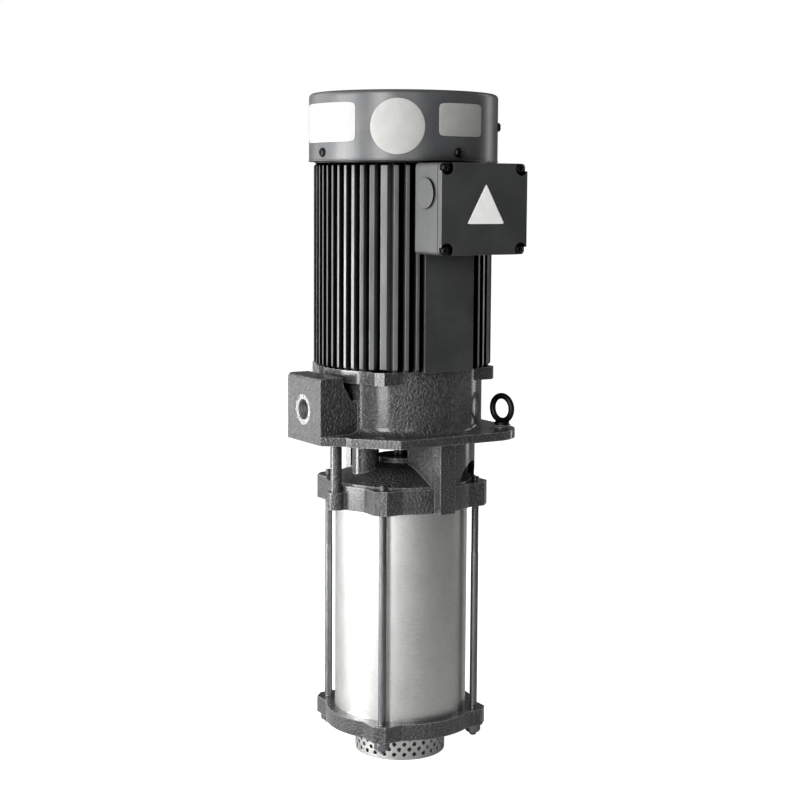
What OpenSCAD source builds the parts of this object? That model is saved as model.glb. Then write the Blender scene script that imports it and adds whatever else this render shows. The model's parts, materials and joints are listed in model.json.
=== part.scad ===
// Vertical multistage immersion pump for machine-tool coolant.
// The shaft axis is Z. The origin is on that axis at the underside of the square mounting flange.
// The terminal box faces -Y and the discharge port faces -X. All sizes are in millimetres.

/* [Mounting flange] */
// Half of the flange's width across its flats
flange_half = 97; // [94:1:105]
// Thickness of the flange plate
flange_t = 9; // [8:0.5:12]
// Leg of the cut on the two plain corners
flange_chamfer = 36.5; // [30:0.5:38]
// Radius of the two corners that carry the eyebolts
flange_corner_r = 40; // [34:1:44]
// Half of the spacing of the four mounting holes
mount_half = 70; // [69:0.5:74]
// Radius of a mounting hole
mount_hole_r = 5.5; // [4.5:0.5:6]

/* [Bracket] */
// Outer radius of the bracket's barrel
barrel_r = 84; // [80:0.5:86]
// Wall of the barrel
barrel_wall = 8; // [6:0.5:10]
// Height of the bracket above the flange underside
bracket_h = 74; // [70:1:84]
// Half of the width across the four motor lugs
lug_half = 72; // [70:0.5:74]
// Cut on the outer corner of each lug
lug_chamfer = 7; // [5:0.5:9]
// Height of the motor lugs
lug_h = 13; // [11:0.5:15]
// Fillet between the barrel and the flange
foot_fillet = 8; // [5:0.5:9]
// Thickness of the web that carries the lower bearing hub
web_t = 7; // [5:0.5:9]
// Width of the hand hole behind the coupling
hand_hole_w = 50; // [40:1:54]
// Height of the hand hole
hand_hole_h = 30; // [26:1:34]

/* [Discharge port] */
// Distance from the shaft axis to the port face
port_face = 118.5; // [114:0.5:124]
// Height of the port's axis above the flange underside
port_z = 33; // [30:0.5:36]
// Height of the port block at its face
port_block_h = 68; // [62:1:70]
// Reach of the port block towards the terminal box side
port_front = 37; // [33:0.5:40]
// Reach of the port block the other way
port_back = 32.5; // [30:0.5:38]
// Radius of the tapped port
port_r = 10.5; // [9.5:0.5:13]
// Depth of the tapped length
port_tap = 18; // [14:1:22]
// Radius of the machined ring round the port
spot_r = 15.5; // [13:0.5:18]
// Depth of the machined ring
spot_depth = 0.6; // [0.3:0.1:1]
// Radius of the passage behind the port
passage_r = 8.5; // [7:0.5:9]

/* [Lantern] */
// Height of the open lantern under the flange
lantern_h = 47; // [42:1:54]
// Distance from the shaft axis to the riser
riser_x = 44; // [42:0.5:47]
// Outer radius of the riser
riser_r = 14; // [12:0.5:15]
// Distance from the shaft axis to the pier's outer face
pier_face = 90; // [86:0.5:92]
// Width of the pier
pier_w = 18; // [14:0.5:22]
// How far the rear wall of the lantern stands inside the castings' rim
skirt_inset = 2.5; // [1:0.5:6]
// Thickness of the rear wall
skirt_wall = 7; // [5:0.5:8]
// Width of each arched window in the rear wall
window_w = 56; // [44:1:60]
// Height of each arched window
window_h = 22; // [18:1:26]
// Radius of the seal hub
hub_r = 27; // [24:0.5:29]
// Height of the seal hub above the floor of the lantern
hub_h = 24; // [20:1:28]
// Radius of the return pipe
pipe_r = 6; // [5:0.5:7]
// Wall of the return pipe
pipe_wall = 1.5; // [1:0.1:2]
// Distance from the stage tube's radius out to the return pipe's axis
pipe_out = 14; // [12:0.5:16]
// Distance of the return pipe from the shaft axis, along Y
pipe_y = 8; // [4:0.5:12]

/* [Head and suction castings] */
// Thickness of the head plate under the lantern
head_t = 25; // [22:1:30]
// Rim of both castings outside the stage tube, between their lobes
casting_rim = 10; // [8:0.5:12]
// How far the flat side of a lobe lies inside the stage tube's radius
lobe_inset = 1; // [-1:0.5:3]
// Cut on the outer corner of each lobe
lobe_chamfer = 9.5; // [8:0.5:11]
// Depth of the tube's seat in the head plate
head_seat = 10; // [8:0.5:12]
// Ledge in the head plate that the tube's gasket seals on
chamber_ledge = 6; // [5:0.5:8]
// Height of the pressure chamber above the tube's seat
chamber_h = 8; // [6:0.5:9]
// Height of the lip round the tube on the suction casting
suction_lip = 9; // [7:0.5:12]
// Thickness of the suction casting's floor
suction_floor = 8; // [6:0.5:10]
// Radius of the suction opening
suction_r = 36; // [33:0.5:40]
// Width of an arm of the suction spider
spider_w = 7; // [5:0.5:9]

/* [Outer tube] */
// Outer radius of the stainless tube
tube_r = 70; // [69:0.25:70.5]
// Wall of the tube
tube_wall = 2; // [1.5:0.1:2.2]
// Thickness of the flat gasket at each end of the tube
gasket_t = 2; // [1.5:0.1:2.5]

/* [Tie rods] */
// Radius of a tie rod
rod_r = 4; // [3:0.5:5]
// Distance from the stage tube's radius out to a tie rod's axis
rod_out = 10; // [9:0.5:11]
// Length of rod that stands out above the head plate
rod_top = 4.5; // [3:0.5:7]
// Length of rod that stands out under its nut
rod_tail = 3.5; // [1:0.5:5]
// Thickness of a plain washer
washer_t = 1.6; // [1.2:0.1:2]
// Radius of a plain washer
washer_r = 8.5; // [7.5:0.1:9]
// Height of a tie rod nut
nut_h = 8; // [6:0.5:9]
// Width across flats of a tie rod nut
nut_flats = 14; // [13:0.5:15]

/* [Pump stages] */
// Number of stages
stage_n = 6; // [6]
// Height of one stage
stage_pitch = 34; // [32:0.5:38]
// Wall of a stage casing
stage_wall = 3.2; // [2.5:0.1:4]
// Thickness of a stage casing's plates
stage_plate = 2.5; // [2:0.1:3]
// Radius of an impeller
impeller_r = 50; // [46:0.5:54]
// Radius of an impeller's eye
eye_r = 22; // [20:0.5:24]
// Thickness of an impeller's shrouds
shroud_t = 2; // [1.6:0.1:2.4]
// Height of an impeller's vanes
vane_h = 7; // [5:0.5:8]
// Thickness of every vane
vane_t = 2.2; // [1.6:0.1:2.8]
// Number of vanes in an impeller
impeller_vanes = 6; // [5:1:7]
// Number of return vanes in a stage casing
return_vanes = 8; // [7:1:10]
// Height of the ring that presses on the stage casings
clamp_h = 34; // [30:1:40]

/* [Pump shaft] */
// Radius of the pump shaft
pump_shaft_r = 8; // [7:0.5:9]
// Outer radius of an impeller's hub
impeller_hub_r = 12.5; // [12:0.5:14]
// Length of the sleeve bearing under the suction casting
bushing_h = 14; // [10:1:18]
// Wall of the sleeve bearing
bushing_wall = 3; // [2:0.5:4]
// Running clearance of the shaft in its sleeve bearing
bushing_clearance = 0.05; // [0.02:0.01:0.08]
// Outer radius of the coupling
coupling_r = 18; // [17:0.5:20]
// Length of the coupling
coupling_h = 34; // [30:1:36]

/* [Strainer] */
// Radius of the strainer basket
strainer_r = 48; // [44:1:54]
// Height of the strainer basket
strainer_h = 32; // [28:1:44]
// Sheet thickness of the strainer
strainer_sheet = 1.5; // [1:0.1:2]
// Radius of a strainer hole
strainer_hole_r = 2.2; // [1.5:0.1:2.6]

/* [Motor frame] */
// Radius over the fin tips
fin_tip_r = 93; // [90:0.5:95]
// Height of a fin above the frame's body
fin_h = 13; // [10:0.5:14]
// Thickness of a fin at its root
fin_t = 3.2; // [2.6:0.1:3.8]
// Thickness of a fin at its tip
fin_tip_t = 2.2; // [1.8:0.1:2.6]
// Distance between the fins at the sides and the back
fin_pitch = 9; // [8.8:0.1:9.2]
// Distance between the fins beside the pad
front_pitch = 9.6; // [9.2:0.1:9.8]
// Length of the motor frame
frame_len = 209; // [190:1:230]
// Radius of the frame's bore
frame_bore_r = 75; // [73:0.5:76]
// Width of the flat pad along the frame
pad_w = 58; // [52:1:64]
// Distance from the shaft axis to the pad's face
pad_face = 90; // [88:0.5:92]

/* [Motor parts] */
// Length of the stator core
core_len = 110; // [90:1:120]
// Inner radius of the stator core
stator_r = 48.5; // [46:0.5:52]
// Air gap between stator and rotor
air_gap = 0.5; // [0.4:0.1:0.8]
// Number of stator slots
slot_n = 24; // [18:6:30]
// Overhang of the end windings beyond the core
winding_h = 24; // [18:1:28]
// Radius of the motor shaft in the rotor core
rotor_seat_r = 16; // [14:0.5:18]
// Radius of the motor shaft in the coupling
motor_end_r = 9; // [8.5:0.5:10]
// Radius of the motor shaft in the fan
fan_seat_r = 8; // [7:0.5:9]

/* [Bearings] */
// Bore radius of the lower ball bearing
lower_bore_r = 12.5; // [12.5]
// Outer radius of the lower ball bearing
lower_outer_r = 31; // [31]
// Width of the lower ball bearing
lower_width = 17; // [17]
// Ball radius of the lower ball bearing
lower_ball_r = 5.75; // [5.75]
// Bore radius of the upper ball bearing
upper_bore_r = 10; // [10]
// Outer radius of the upper ball bearing
upper_outer_r = 23.5; // [23.5]
// Width of the upper ball bearing
upper_width = 14; // [14]
// Ball radius of the upper ball bearing
upper_ball_r = 3.97; // [3.97]

/* [Fan and cover] */
// Outer radius of the fan cover
cover_r = 98; // [96:0.5:102]
// Height of the fan cover
cover_h = 69.5; // [64:0.5:76]
// Sheet thickness of the fan cover
cover_sheet = 1.5; // [1:0.1:2]
// Rounding of the fan cover's upper edge
cover_round = 4.5; // [3:0.5:7]
// Thickness of the end shield's plate
shield_t = 6; // [5:0.5:8]
// Height of the rim that the fan cover screws to
shield_rim_h = 12; // [10:0.5:14]
// Number of fan blades
blade_n = 8; // [6:1:10]
// Radius of the fan
fan_r = 84; // [76:1:88]
// Height of the fan blades
blade_h = 28; // [22:1:32]
// Radius of a pan head on the fan cover
pan_head_r = 4.6; // [4:0.1:5]

/* [Terminal box] */
// Width of the terminal box
box_w = 100; // [92:1:108]
// Height of the terminal box
box_h = 88.5; // [82:0.5:96]
// Distance from the shaft axis to the box's back
box_back = 104; // [102:0.5:108]
// Depth of the box without its cover
box_depth = 39; // [34:1:46]
// Thickness of the cover
box_cover_t = 6.5; // [5:0.5:8]
// Thickness of the cover's gasket
box_gasket_t = 1; // [0.6:0.1:1.5]
// Wall of the box
box_wall = 4; // [3:0.5:5]
// Height of the box's lower edge above the flange underside
box_z = 193.5; // [180:0.5:196]
// Radius of the raised cable knock-outs
knockout_r = 14.5; // [12:0.5:16]
// Radius of the tapped cable entry in the box's lower side
entry_r = 10.5; // [8:0.5:12]

/* [Eyebolts] */
// Ring radius of an eyebolt at the middle of its section
eye_ring_r = 13.15; // [12:0.05:14]
// Section radius of an eyebolt's ring
eye_wire_r = 3.15; // [2.8:0.05:3.5]
// Radius of an eyebolt's collar
eye_collar_r = 8; // [7:0.5:8.5]
// Distance of each eyebolt from the shaft axis, along X
eyebolt_x = 86; // [85:0.5:87]
// Distance of each eyebolt from the shaft axis, along Y
eyebolt_y = 61.5; // [61:0.5:63]

/* [Hidden] */
$fn = 96;

// Length by which a cutting solid runs past the solid that it cuts, or a joined one into its neighbour
over = 1;
// Gap of a piece that slides into its seat
slip = 0.02;
// Gap of a screw or rod in its hole
bolt_gap = 0.1;
// Gap between turning and standing pieces that don't touch
turn_gap = 0.3;

// Levels upwards from the flange underside
frame_z = bracket_h;
shield_z = frame_z + frame_len;
cover_z = shield_z + 1.5;
cover_top = cover_z + cover_h;
spigot_h = 4;
spigot_r = frame_bore_r - 0.1;
spigot_in_r = frame_bore_r - 9;

// Levels downwards from the flange underside
head_top = -lantern_h;
head_z = head_top - head_t;
seat_z = head_z + head_seat;
chamber_top = seat_z + chamber_h;
stack_top = seat_z - clamp_h;
stack_z = stack_top - stage_n * stage_pitch;
suction_z = stack_z - suction_floor;
rod_end = suction_z - washer_t - nut_h - rod_tail;
tube_z = stack_z + gasket_t;
tube_top = seat_z - gasket_t;

// Radii of the pieces round and inside the tube
tube_seat_r = tube_r + 0.25;
chamber_r = tube_r - chamber_ledge;
casting_r = tube_r + casting_rim;
lobe_half = tube_r - lobe_inset;
skirt_r = casting_r - skirt_inset;
rod_circle_r = tube_r + rod_out;
pipe_x = tube_r + pipe_out;
tube_in_r = tube_r - tube_wall;
stage_out_r = tube_in_r - turn_gap;
stage_in_r = stage_out_r - stage_wall;
rod_pos = rod_circle_r / sqrt(2);
boss_r = pipe_r + 3;

// Heights inside one stage, from its underside
neck_z = 0.5;
impeller_z = stage_plate + 0.8;
front_z = impeller_z + 2;
vane_z = front_z + shroud_t;
back_z = vane_z + vane_h;
impeller_top = back_z + shroud_t;
divider_z = impeller_top + 2;
guide_z = divider_z + stage_plate;
divider_r = stage_in_r - 7.5;
spacer_r = impeller_hub_r - 1;
eye_out_r = eye_r + 3;
wear_in_r = eye_out_r + turn_gap;
wear_out_r = wear_in_r + 3.5;
wear_h = 4.5;
blade_slope = 27;
guide_slope = 32;

// Levels along the pump shaft
last_top = stack_z + (stage_n - 1) * stage_pitch + impeller_top;
end_spacer_h = 6;
impeller_nut_h = 10;
impeller_nut_r = 14;
bushing_top = stack_z - 1;
bushing_z = bushing_top - bushing_h;
bushing_in_r = pump_shaft_r + bushing_clearance;
bushing_out_r = bushing_in_r + bushing_wall;
spider_hub_r = bushing_out_r + 4;
collar_r = impeller_hub_r - 1.5;
basket_in_r = strainer_r - strainer_sheet;
basket_lip_h = 6;

// Levels of the shaft seal, under the roof of the pressure chamber
seal_seat_h = 10;
seal_r = 14.5;
seal_face_gap = 0.05;
seal_ring_h = 8;
seal_ring_z = chamber_top - seal_face_gap - seal_ring_h;
bellows_h = 22;

// Levels of the lower bearing and the coupling
hub_wall = 9;
bearing_hub_r = lower_outer_r + hub_wall;
bearing_hub_top = bracket_h - 3;
lower_bearing_z = bearing_hub_top - lower_width - 3;
circlip_z = lower_bearing_z + lower_width;
circlip_t = 1.5;
groove_depth = 1.8;
bearing_hub_z = lower_bearing_z - 3;
web_z = bearing_hub_top - web_t;
coupling_top = bearing_hub_z - 1;
coupling_z = coupling_top - coupling_h;
shaft_joint_z = coupling_z + coupling_h / 2;
shaft_gap = 0.5;

// Levels of the rotor, the stator and the upper bearing
core_z = frame_z + 41;
core_top = core_z + core_len;
rotor_r = stator_r - air_gap;
slot_in_r = stator_r + 3.5;
slot_out_r = slot_in_r + 12;
upper_bearing_z = shield_z - 20;
preload_z = upper_bearing_z + upper_width;
preload_t = 1.2;
shield_hub_r = upper_outer_r + 8;
fan_z = shield_z + 17;
fan_hub_r = 16;
fan_hub_h = 22;
fan_disc_t = 3;
clip_z = fan_z + fan_hub_h;
clip_t = 1.5;
shaft_top = clip_z + 5;

// The through bolts stand inside the frame, in four notches of the stator core
motor_bolt_r = 2.5;
motor_bolt_circle = frame_bore_r - 3.8;
motor_bolt_pos = motor_bolt_circle / sqrt(2);
motor_bolt_end = web_z + 1.5;
fin_bevel = 3;
front_left = 35;
front_right = 39.5;
shield_r = cover_r - cover_sheet - 0.2;
rim_wall = 4.3;
rim_z = cover_z + 0.3;
cover_screw_z = shield_z + 10;
cover_turn = 2.4;
side_screw_z = shield_z + 38;
side_screw_turn = -35;
screw_r = 2.4;
pan_head_h = 3;

// The terminal box; its depths run along -Y
box_mid_z = box_z + box_h / 2;
box_lip = box_back + box_depth;
box_floor = box_back + box_wall;
box_front = box_lip + box_gasket_t + box_cover_t;
box_corner_r = 4;
neck_half = 28;
cable_half = 15;
foot_screw = 22;
pad_thread = 9;
cover_screw_x = box_w / 2 - 6.6;
cover_screw_y = box_h / 2 - 5;
counterbore_r = 7;
board_head_r = 3.2;
counterbore_depth = 4;
knockout_depth = box_back + 20;
knockout_z = box_mid_z + 15;
board_w = 34;
board_h = 22;
board_t = 9;
board_z = box_z + 20;
stud_pitch = 11;
nut_points = 6;

// The eyebolts
eye_seat_z = flange_t + 2;
eye_boss_r = eye_collar_r + 1;
eye_collar_h = 4;
eye_rise = 17;
eye_shank_r = 4;
eye_turn = -77;

// Colours
iron = [0.62, 0.62, 0.61];
dark_iron = [0.42, 0.42, 0.42];
frame_grey = [0.30, 0.30, 0.31];
cover_grey = [0.50, 0.50, 0.51];
steel = [0.75, 0.76, 0.78];
lamination = [0.45, 0.46, 0.48];
aluminium = [0.70, 0.71, 0.72];
black = [0.10, 0.10, 0.11];
copper = [0.72, 0.43, 0.24];
brass = [0.80, 0.68, 0.35];
rubber = [0.13, 0.13, 0.13];
carbon = [0.18, 0.18, 0.20];

// A ring that stands on z = 0
module ring(r_out, r_in, h) {
    difference() {
        cylinder(r = r_out, h = h);
        translate([0, 0, -over]) cylinder(r = r_in, h = h + 2 * over);
    }
}

// Repeats its children at the four corners of a rectangle
module at_corners(x, y) {
    for (sx = [-1, 1], sy = [-1, 1]) translate([sx * x, sy * y, 0]) children();
}

// Repeats its children at equal turns round Z
module around(n) {
    for (k = [0 : n - 1]) rotate([0, 0, k * 360 / n]) children();
}

// Lays a drawing in X and Z on the plane at -Y = depth, so that its height grows towards -Y
module facing_out(depth) {
    translate([0, -depth, 0]) rotate([90, 0, 0]) children();
}

// Points a child that stands on z = 0 towards +X
module pointing_x() {
    rotate([0, 90, 0]) children();
}

module rounded_rect(w, h, r) {
    translate([-w / 2 + r, -h / 2]) square([w - 2 * r, h]);
    translate([-w / 2, -h / 2 + r]) square([w, h - 2 * r]);
    at_corners(w / 2 - r, h / 2 - r) circle(r = r);
}

// A screw whose head stands on z = 0 and whose shank hangs below it
module slotted_screw(head_r, head_h, shank_r, length) {
    difference() {
        union() {
            translate([0, 0, -length]) cylinder(r = shank_r, h = length + over);
            cylinder(r = head_r, h = head_h * 0.6);
            translate([0, 0, head_h * 0.6]) cylinder(r1 = head_r, r2 = head_r * 0.75, h = head_h * 0.4);
        }
        translate([-head_r - over, -head_r * 0.15, head_h * 0.55]) cube([2 * head_r + 2 * over,
            head_r * 0.3, head_h]);
    }
}

// A square whose four corners are cut
module cut_square(half, cut) {
    in = half - cut;
    polygon([[-in, -half], [in, -half], [half, -in], [half, in],
        [in, half], [-in, half], [-half, in], [-half, -in]]);
}

// The outline shared by the head plate and the suction casting
module lobed_outline() {
    circle(r = casting_r);
    cut_square(lobe_half, lobe_chamfer);
}

// The outline of the mounting flange: two corners cut, two round, and a tongue under the port block
module flange_outline() {
    half = flange_half;
    in = flange_half - flange_chamfer;
    bend = flange_half - flange_corner_r;
    polygon([[-in, -half], [bend, -half], [half, -bend], [half, in],
        [in, half], [-bend, half], [-half, bend], [-half, -in]]);
    translate([bend, -bend]) circle(r = flange_corner_r);
    translate([-bend, bend]) circle(r = flange_corner_r);
    polygon([[-half + over, -port_front - 16], [-port_face, -port_front],
        [-port_face, port_back], [-half + over, port_back + 16]]);
}

// The port block in side view, with its sloping back edge
module port_profile() {
    edge = port_face - 24;
    round_r = 5;
    inner = riser_x + 20;
    polygon([[-port_face, 0], [-port_face, port_block_h - round_r],
        [-port_face + round_r, port_block_h], [-edge, port_block_h], [-edge + 3, port_block_h - 9],
        [-edge + 12, port_block_h - 25], [-inner, port_block_h - 25], [-inner, 0]]);
    translate([-port_face + round_r, port_block_h - round_r]) circle(r = round_r);
}

// The barrel with its foot fillet, its four motor lugs and the collar above the port block
module bracket_barrel() {
    rotate_extrude() {
        square([barrel_r, bracket_h]);
        difference() {
            translate([barrel_r - over, flange_t - over]) square(foot_fillet + over);
            translate([barrel_r + foot_fillet, flange_t + foot_fillet]) circle(r = foot_fillet);
        }
    }
    translate([0, 0, bracket_h - lug_h]) {
        linear_extrude(height = lug_h) cut_square(lug_half, lug_chamfer);
        intersection() {
            cylinder(r = barrel_r + 4, h = lug_h);
            translate([-2 * barrel_r, lug_chamfer - lug_half, -over])
                cube([2 * barrel_r - riser_x, 2 * (lug_half - lug_chamfer), lug_h + 2 * over]);
        }
    }
}

// The hollow round the coupling, less the bearing hub and the elbow that leads to the port
module bracket_hollow() {
    elbow_top = port_z + passage_r + 7;
    difference() {
        translate([0, 0, flange_t]) cylinder(r = barrel_r - barrel_wall, h = web_z - flange_t);
        translate([0, 0, bearing_hub_z]) cylinder(r = bearing_hub_r, h = bracket_h);
        translate([-riser_x, 0, 0]) cylinder(r = riser_r + 1, h = elbow_top);
        translate([-2 * riser_x, 1 - riser_r, 0]) cube([riser_x, 2 * riser_r - 2, elbow_top]);
    }
    translate([0, 0, bearing_hub_top]) cylinder(r = spigot_in_r, h = bracket_h);
    translate([0, barrel_r, (flange_t + web_z) / 2 + 4])
        cube([hand_hole_w, 4 * barrel_wall, hand_hole_h], center = true);
}

// The outline of one arched window of the lantern's rear wall
module window_outline() {
    arch_r = window_w / 2 + 3;
    intersection() {
        translate([-window_w / 2, -over]) square([window_w, window_h + over]);
        translate([0, window_h - arch_r]) circle(r = arch_r);
    }
}

// The rear wall of the lantern
module lantern_skirt() {
    difference() {
        translate([0, 0, head_top - over]) rotate_extrude(angle = 192, start = -82)
            translate([skirt_r - skirt_wall, 0]) square([skirt_wall, lantern_h + 2 * over]);
        for (turn = [-50, 14, 76]) rotate([0, 0, turn]) translate([skirt_r / 2, 0, head_top])
            rotate([90, 0, 90]) linear_extrude(height = skirt_r) window_outline();
    }
}

// The cone and hub that rise from the head plate and hold the shaft seal
module seal_dome() {
    rim = skirt_r - skirt_wall / 2;
    translate([0, 0, head_top]) rotate_extrude() polygon([[0, -over], [rim, -over], [rim, 1.5],
        [hub_r + 14, hub_h * 0.65], [hub_r, hub_h * 0.8], [hub_r, hub_h], [0, hub_h]]);
}

// The riser between the head plate and the flange, flared at both ends
module riser() {
    flare = 5;
    wide = riser_r + flare;
    translate([-riser_x, 0, head_top]) rotate_extrude() difference() {
        translate([0, -over]) square([wide, lantern_h + 2 * over]);
        translate([riser_r, flare]) square([wide, lantern_h - 2 * flare]);
        for (y = [flare, lantern_h - flare]) translate([wide, y]) circle(r = flare);
    }
}

// The head plate with everything between it and the flange
module head_solid() {
    translate([0, 0, head_z]) linear_extrude(height = head_t) lobed_outline();
    seal_dome();
    riser();
    lantern_skirt();
    translate([-pier_w / 2, -pier_face, head_z])
        cube([pier_w, pier_face - hub_r, lantern_h + head_t + over]);
    translate([-pipe_x, -pipe_y, head_z]) cylinder(r = boss_r, h = head_t - 7);
}

// The seats, chambers and holes of the head plate
module head_cuts() {
    translate([0, 0, head_z - over]) cylinder(r = tube_seat_r, h = head_seat + over);
    translate([0, 0, seat_z - over]) cylinder(r = chamber_r, h = chamber_h + over);
    translate([0, 0, chamber_top - over]) cylinder(r = seal_r + slip, h = seal_seat_h + over);
    translate([0, 0, seat_z]) cylinder(r = pump_shaft_r + 1.5, h = flange_t + over - seat_z);
    translate([-pipe_x, -pipe_y, head_z + head_t - 10]) cylinder(r = pipe_r + slip, h = lantern_h + 14);
    translate([-pipe_x, -pipe_y, head_z - over]) cylinder(r = pipe_r - pipe_wall, h = head_t);
    at_corners(rod_pos, rod_pos) translate([0, 0, head_z - over])
        cylinder(r = rod_r + bolt_gap, h = head_t + rod_top + 2 * over);
}

// The passage from the pressure chamber up the riser and out through the tapped port
module outlet_cuts() {
    translate([-riser_x, 0, seat_z]) cylinder(r = passage_r, h = port_z - seat_z);
    translate([passage_r + over / 2 - riser_x, 0, port_z]) rotate([0, -90, 0])
        cylinder(r = passage_r + over / 2, h = port_face);
    translate([port_tap - port_face, 0, port_z]) rotate([0, -90, 0])
        cylinder(r = port_r, h = port_tap + over);
    translate([spot_depth - port_face, 0, port_z]) rotate([0, -90, 0])
        cylinder(r = spot_r, h = spot_depth + over);
}

// The seat of the lower bearing with its shoulder and circlip groove
module lower_bearing_cuts() {
    translate([0, 0, lower_bearing_z]) cylinder(r = lower_outer_r + slip, h = bracket_h);
    translate([0, 0, bearing_hub_z - over]) cylinder(r = lower_outer_r - 5, h = bracket_h);
    translate([0, 0, circlip_z]) cylinder(r = lower_outer_r + groove_depth, h = circlip_t + slip);
}

module bracket() {
    color(iron) difference() {
        union() {
            difference() {
                union() {
                    linear_extrude(height = flange_t) flange_outline();
                    bracket_barrel();
                    translate([0, port_back, 0]) rotate([90, 0, 0])
                        linear_extrude(height = port_back + port_front) port_profile();
                    for (s = [-1, 1]) translate([s * eyebolt_x, -s * eyebolt_y, 0])
                        cylinder(r = eye_boss_r, h = eye_seat_z);
                }
                bracket_hollow();
            }
            translate([0, 0, bracket_h - over]) ring(spigot_r, spigot_in_r, spigot_h + over);
            head_solid();
        }
        head_cuts();
        outlet_cuts();
        lower_bearing_cuts();
        at_corners(mount_half, mount_half) translate([0, 0, -over])
            cylinder(r = mount_hole_r, h = flange_t + 2 * over);
        at_corners(motor_bolt_pos, motor_bolt_pos) translate([0, 0, motor_bolt_end - over])
            cylinder(r = motor_bolt_r + bolt_gap, h = bracket_h);
        for (s = [-1, 1]) translate([s * eyebolt_x, -s * eyebolt_y, over])
            cylinder(r = eye_shank_r + bolt_gap, h = 2 * flange_t);
    }
}

// The section of the finned frame
// A row of parallel fins that point to +X, at the given distances along Y
module fin_row(places) {
    flare = (fin_t - fin_tip_t) / 2 / fin_h * fin_tip_r;
    tip = fin_tip_r + over;
    for (p = places) polygon([[0, p - fin_tip_t / 2 - flare], [tip, p - fin_tip_t / 2],
        [tip, p + fin_tip_t / 2], [0, p + fin_tip_t / 2 + flare]]);
}

// The fins stand in four parallel rows, as a die with four slides leaves them
module fins_outline() {
    side = [for (k = [-8 : 7]) (k + 0.5) * fin_pitch];
    back = [for (k = [-7 : 6]) (k + 0.5) * fin_pitch];
    front = [for (k = [0 : 2]) each [-front_left - k * front_pitch, front_right + k * front_pitch]];
    circle(r = fin_tip_r - fin_h);
    fin_row(side);
    rotate([0, 0, 90]) fin_row(back);
    rotate([0, 0, 180]) fin_row(side);
    rotate([0, 0, -90]) fin_row(front);
    translate([-max(back), 0]) square([2 * max(back), max(side)]);
    translate([min(front), -max(side)]) square([max(front) - min(front), max(side)]);
}

module motor_frame() {
    color(frame_grey) difference() {
        translate([0, 0, frame_z]) {
            intersection() {
                linear_extrude(height = frame_len) fins_outline();
                rotate_extrude() polygon([[0, 0], [fin_tip_r - fin_bevel, 0], [fin_tip_r, fin_bevel],
                    [fin_tip_r, frame_len - fin_bevel], [fin_tip_r - fin_bevel, frame_len],
                    [0, frame_len]]);
            }
            translate([-pad_w / 2, -pad_face, 0]) cube([pad_w, pad_face / 2, frame_len]);
        }
        translate([0, 0, frame_z - over]) cylinder(r = frame_bore_r, h = frame_len + 2 * over);
        translate([-cable_half, -pad_face - over, box_mid_z - cable_half])
            cube([2 * cable_half, pad_face / 2, 2 * cable_half]);
        facing_out(pad_face - pad_thread) translate([0, box_mid_z, 0]) at_corners(foot_screw, foot_screw)
            cylinder(r = screw_r + bolt_gap, h = pad_thread + over);
    }
}

// One closed slot of the stator, as seen along the shaft
module slot_outline(gap) {
    half = slot_out_r * sin(180 / slot_n) * 0.42 - gap;
    translate([slot_in_r + gap, -half * 0.8]) square([slot_out_r - slot_in_r - 2 * gap, half * 1.6]);
}

module stator_core() {
    color(lamination) translate([0, 0, core_z]) linear_extrude(height = core_len) difference() {
        circle(r = frame_bore_r - slip);
        circle(r = stator_r);
        around(slot_n) {
            slot_outline(0);
            translate([stator_r - over, -1.2]) square([slot_in_r - stator_r + 2 * over, 2.4]);
        }
        around(4) rotate([0, 0, 45]) translate([motor_bolt_circle - motor_bolt_r - 0.5, -motor_bolt_r - 0.5])
            square([2 * frame_bore_r, 2 * motor_bolt_r + 1]);
    }
}

module stator_windings() {
    color(copper) {
        translate([0, 0, core_z - over]) linear_extrude(height = core_len + 2 * over) around(slot_n)
            slot_outline(0.15);
        for (z = [core_z - winding_h, core_top]) translate([0, 0, z])
            ring(slot_out_r + 3, slot_in_r - 0.5, winding_h);
    }
}

module rotor_core() {
    color(lamination) translate([0, 0, core_z]) ring(rotor_r, rotor_seat_r + slip, core_len);
}

module rotor_end_rings() {
    end_h = 12;
    color(aluminium) for (z = [core_z - end_h, core_top]) translate([0, 0, z])
        ring(rotor_r - 2, rotor_r - 17, end_h);
}

module motor_shaft() {
    end_r = motor_end_r;
    low_r = lower_bore_r - slip;
    top_r = upper_bore_r - slip;
    start = shaft_joint_z + shaft_gap / 2;
    color(steel) rotate_extrude() polygon([[0, start], [end_r, start], [end_r, coupling_top + over],
        [low_r, coupling_top + over], [low_r, circlip_z], [rotor_seat_r - 1, circlip_z],
        [rotor_seat_r - 1, core_z - 20], [rotor_seat_r, core_z - 20], [rotor_seat_r, core_top + 15],
        [lower_bore_r, core_top + 15], [lower_bore_r, upper_bearing_z], [top_r, upper_bearing_z],
        [top_r, preload_z + 2], [fan_seat_r, preload_z + 2], [fan_seat_r, clip_z],
        [fan_seat_r - 0.7, clip_z], [fan_seat_r - 0.7, clip_z + clip_t + slip],
        [fan_seat_r, clip_z + clip_t + slip], [fan_seat_r, shaft_top - over],
        [fan_seat_r - over, shaft_top], [0, shaft_top]]);
}

// The two races of a deep groove ball bearing, without the groove that the balls run in
function pitch_r(bore_r, outer_r) = (bore_r + outer_r) / 2;
function land_r(ball_r) = 0.55 * ball_r;

module race_groove(pitch, ball_r, width) {
    translate([0, 0, width / 2]) rotate_extrude() translate([pitch, 0]) circle(r = ball_r + 0.1);
}

module outer_race(bore_r, outer_r, ball_r, width) {
    pitch = pitch_r(bore_r, outer_r);
    color(steel) difference() {
        ring(outer_r, pitch + land_r(ball_r), width);
        race_groove(pitch, ball_r, width);
    }
}

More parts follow.
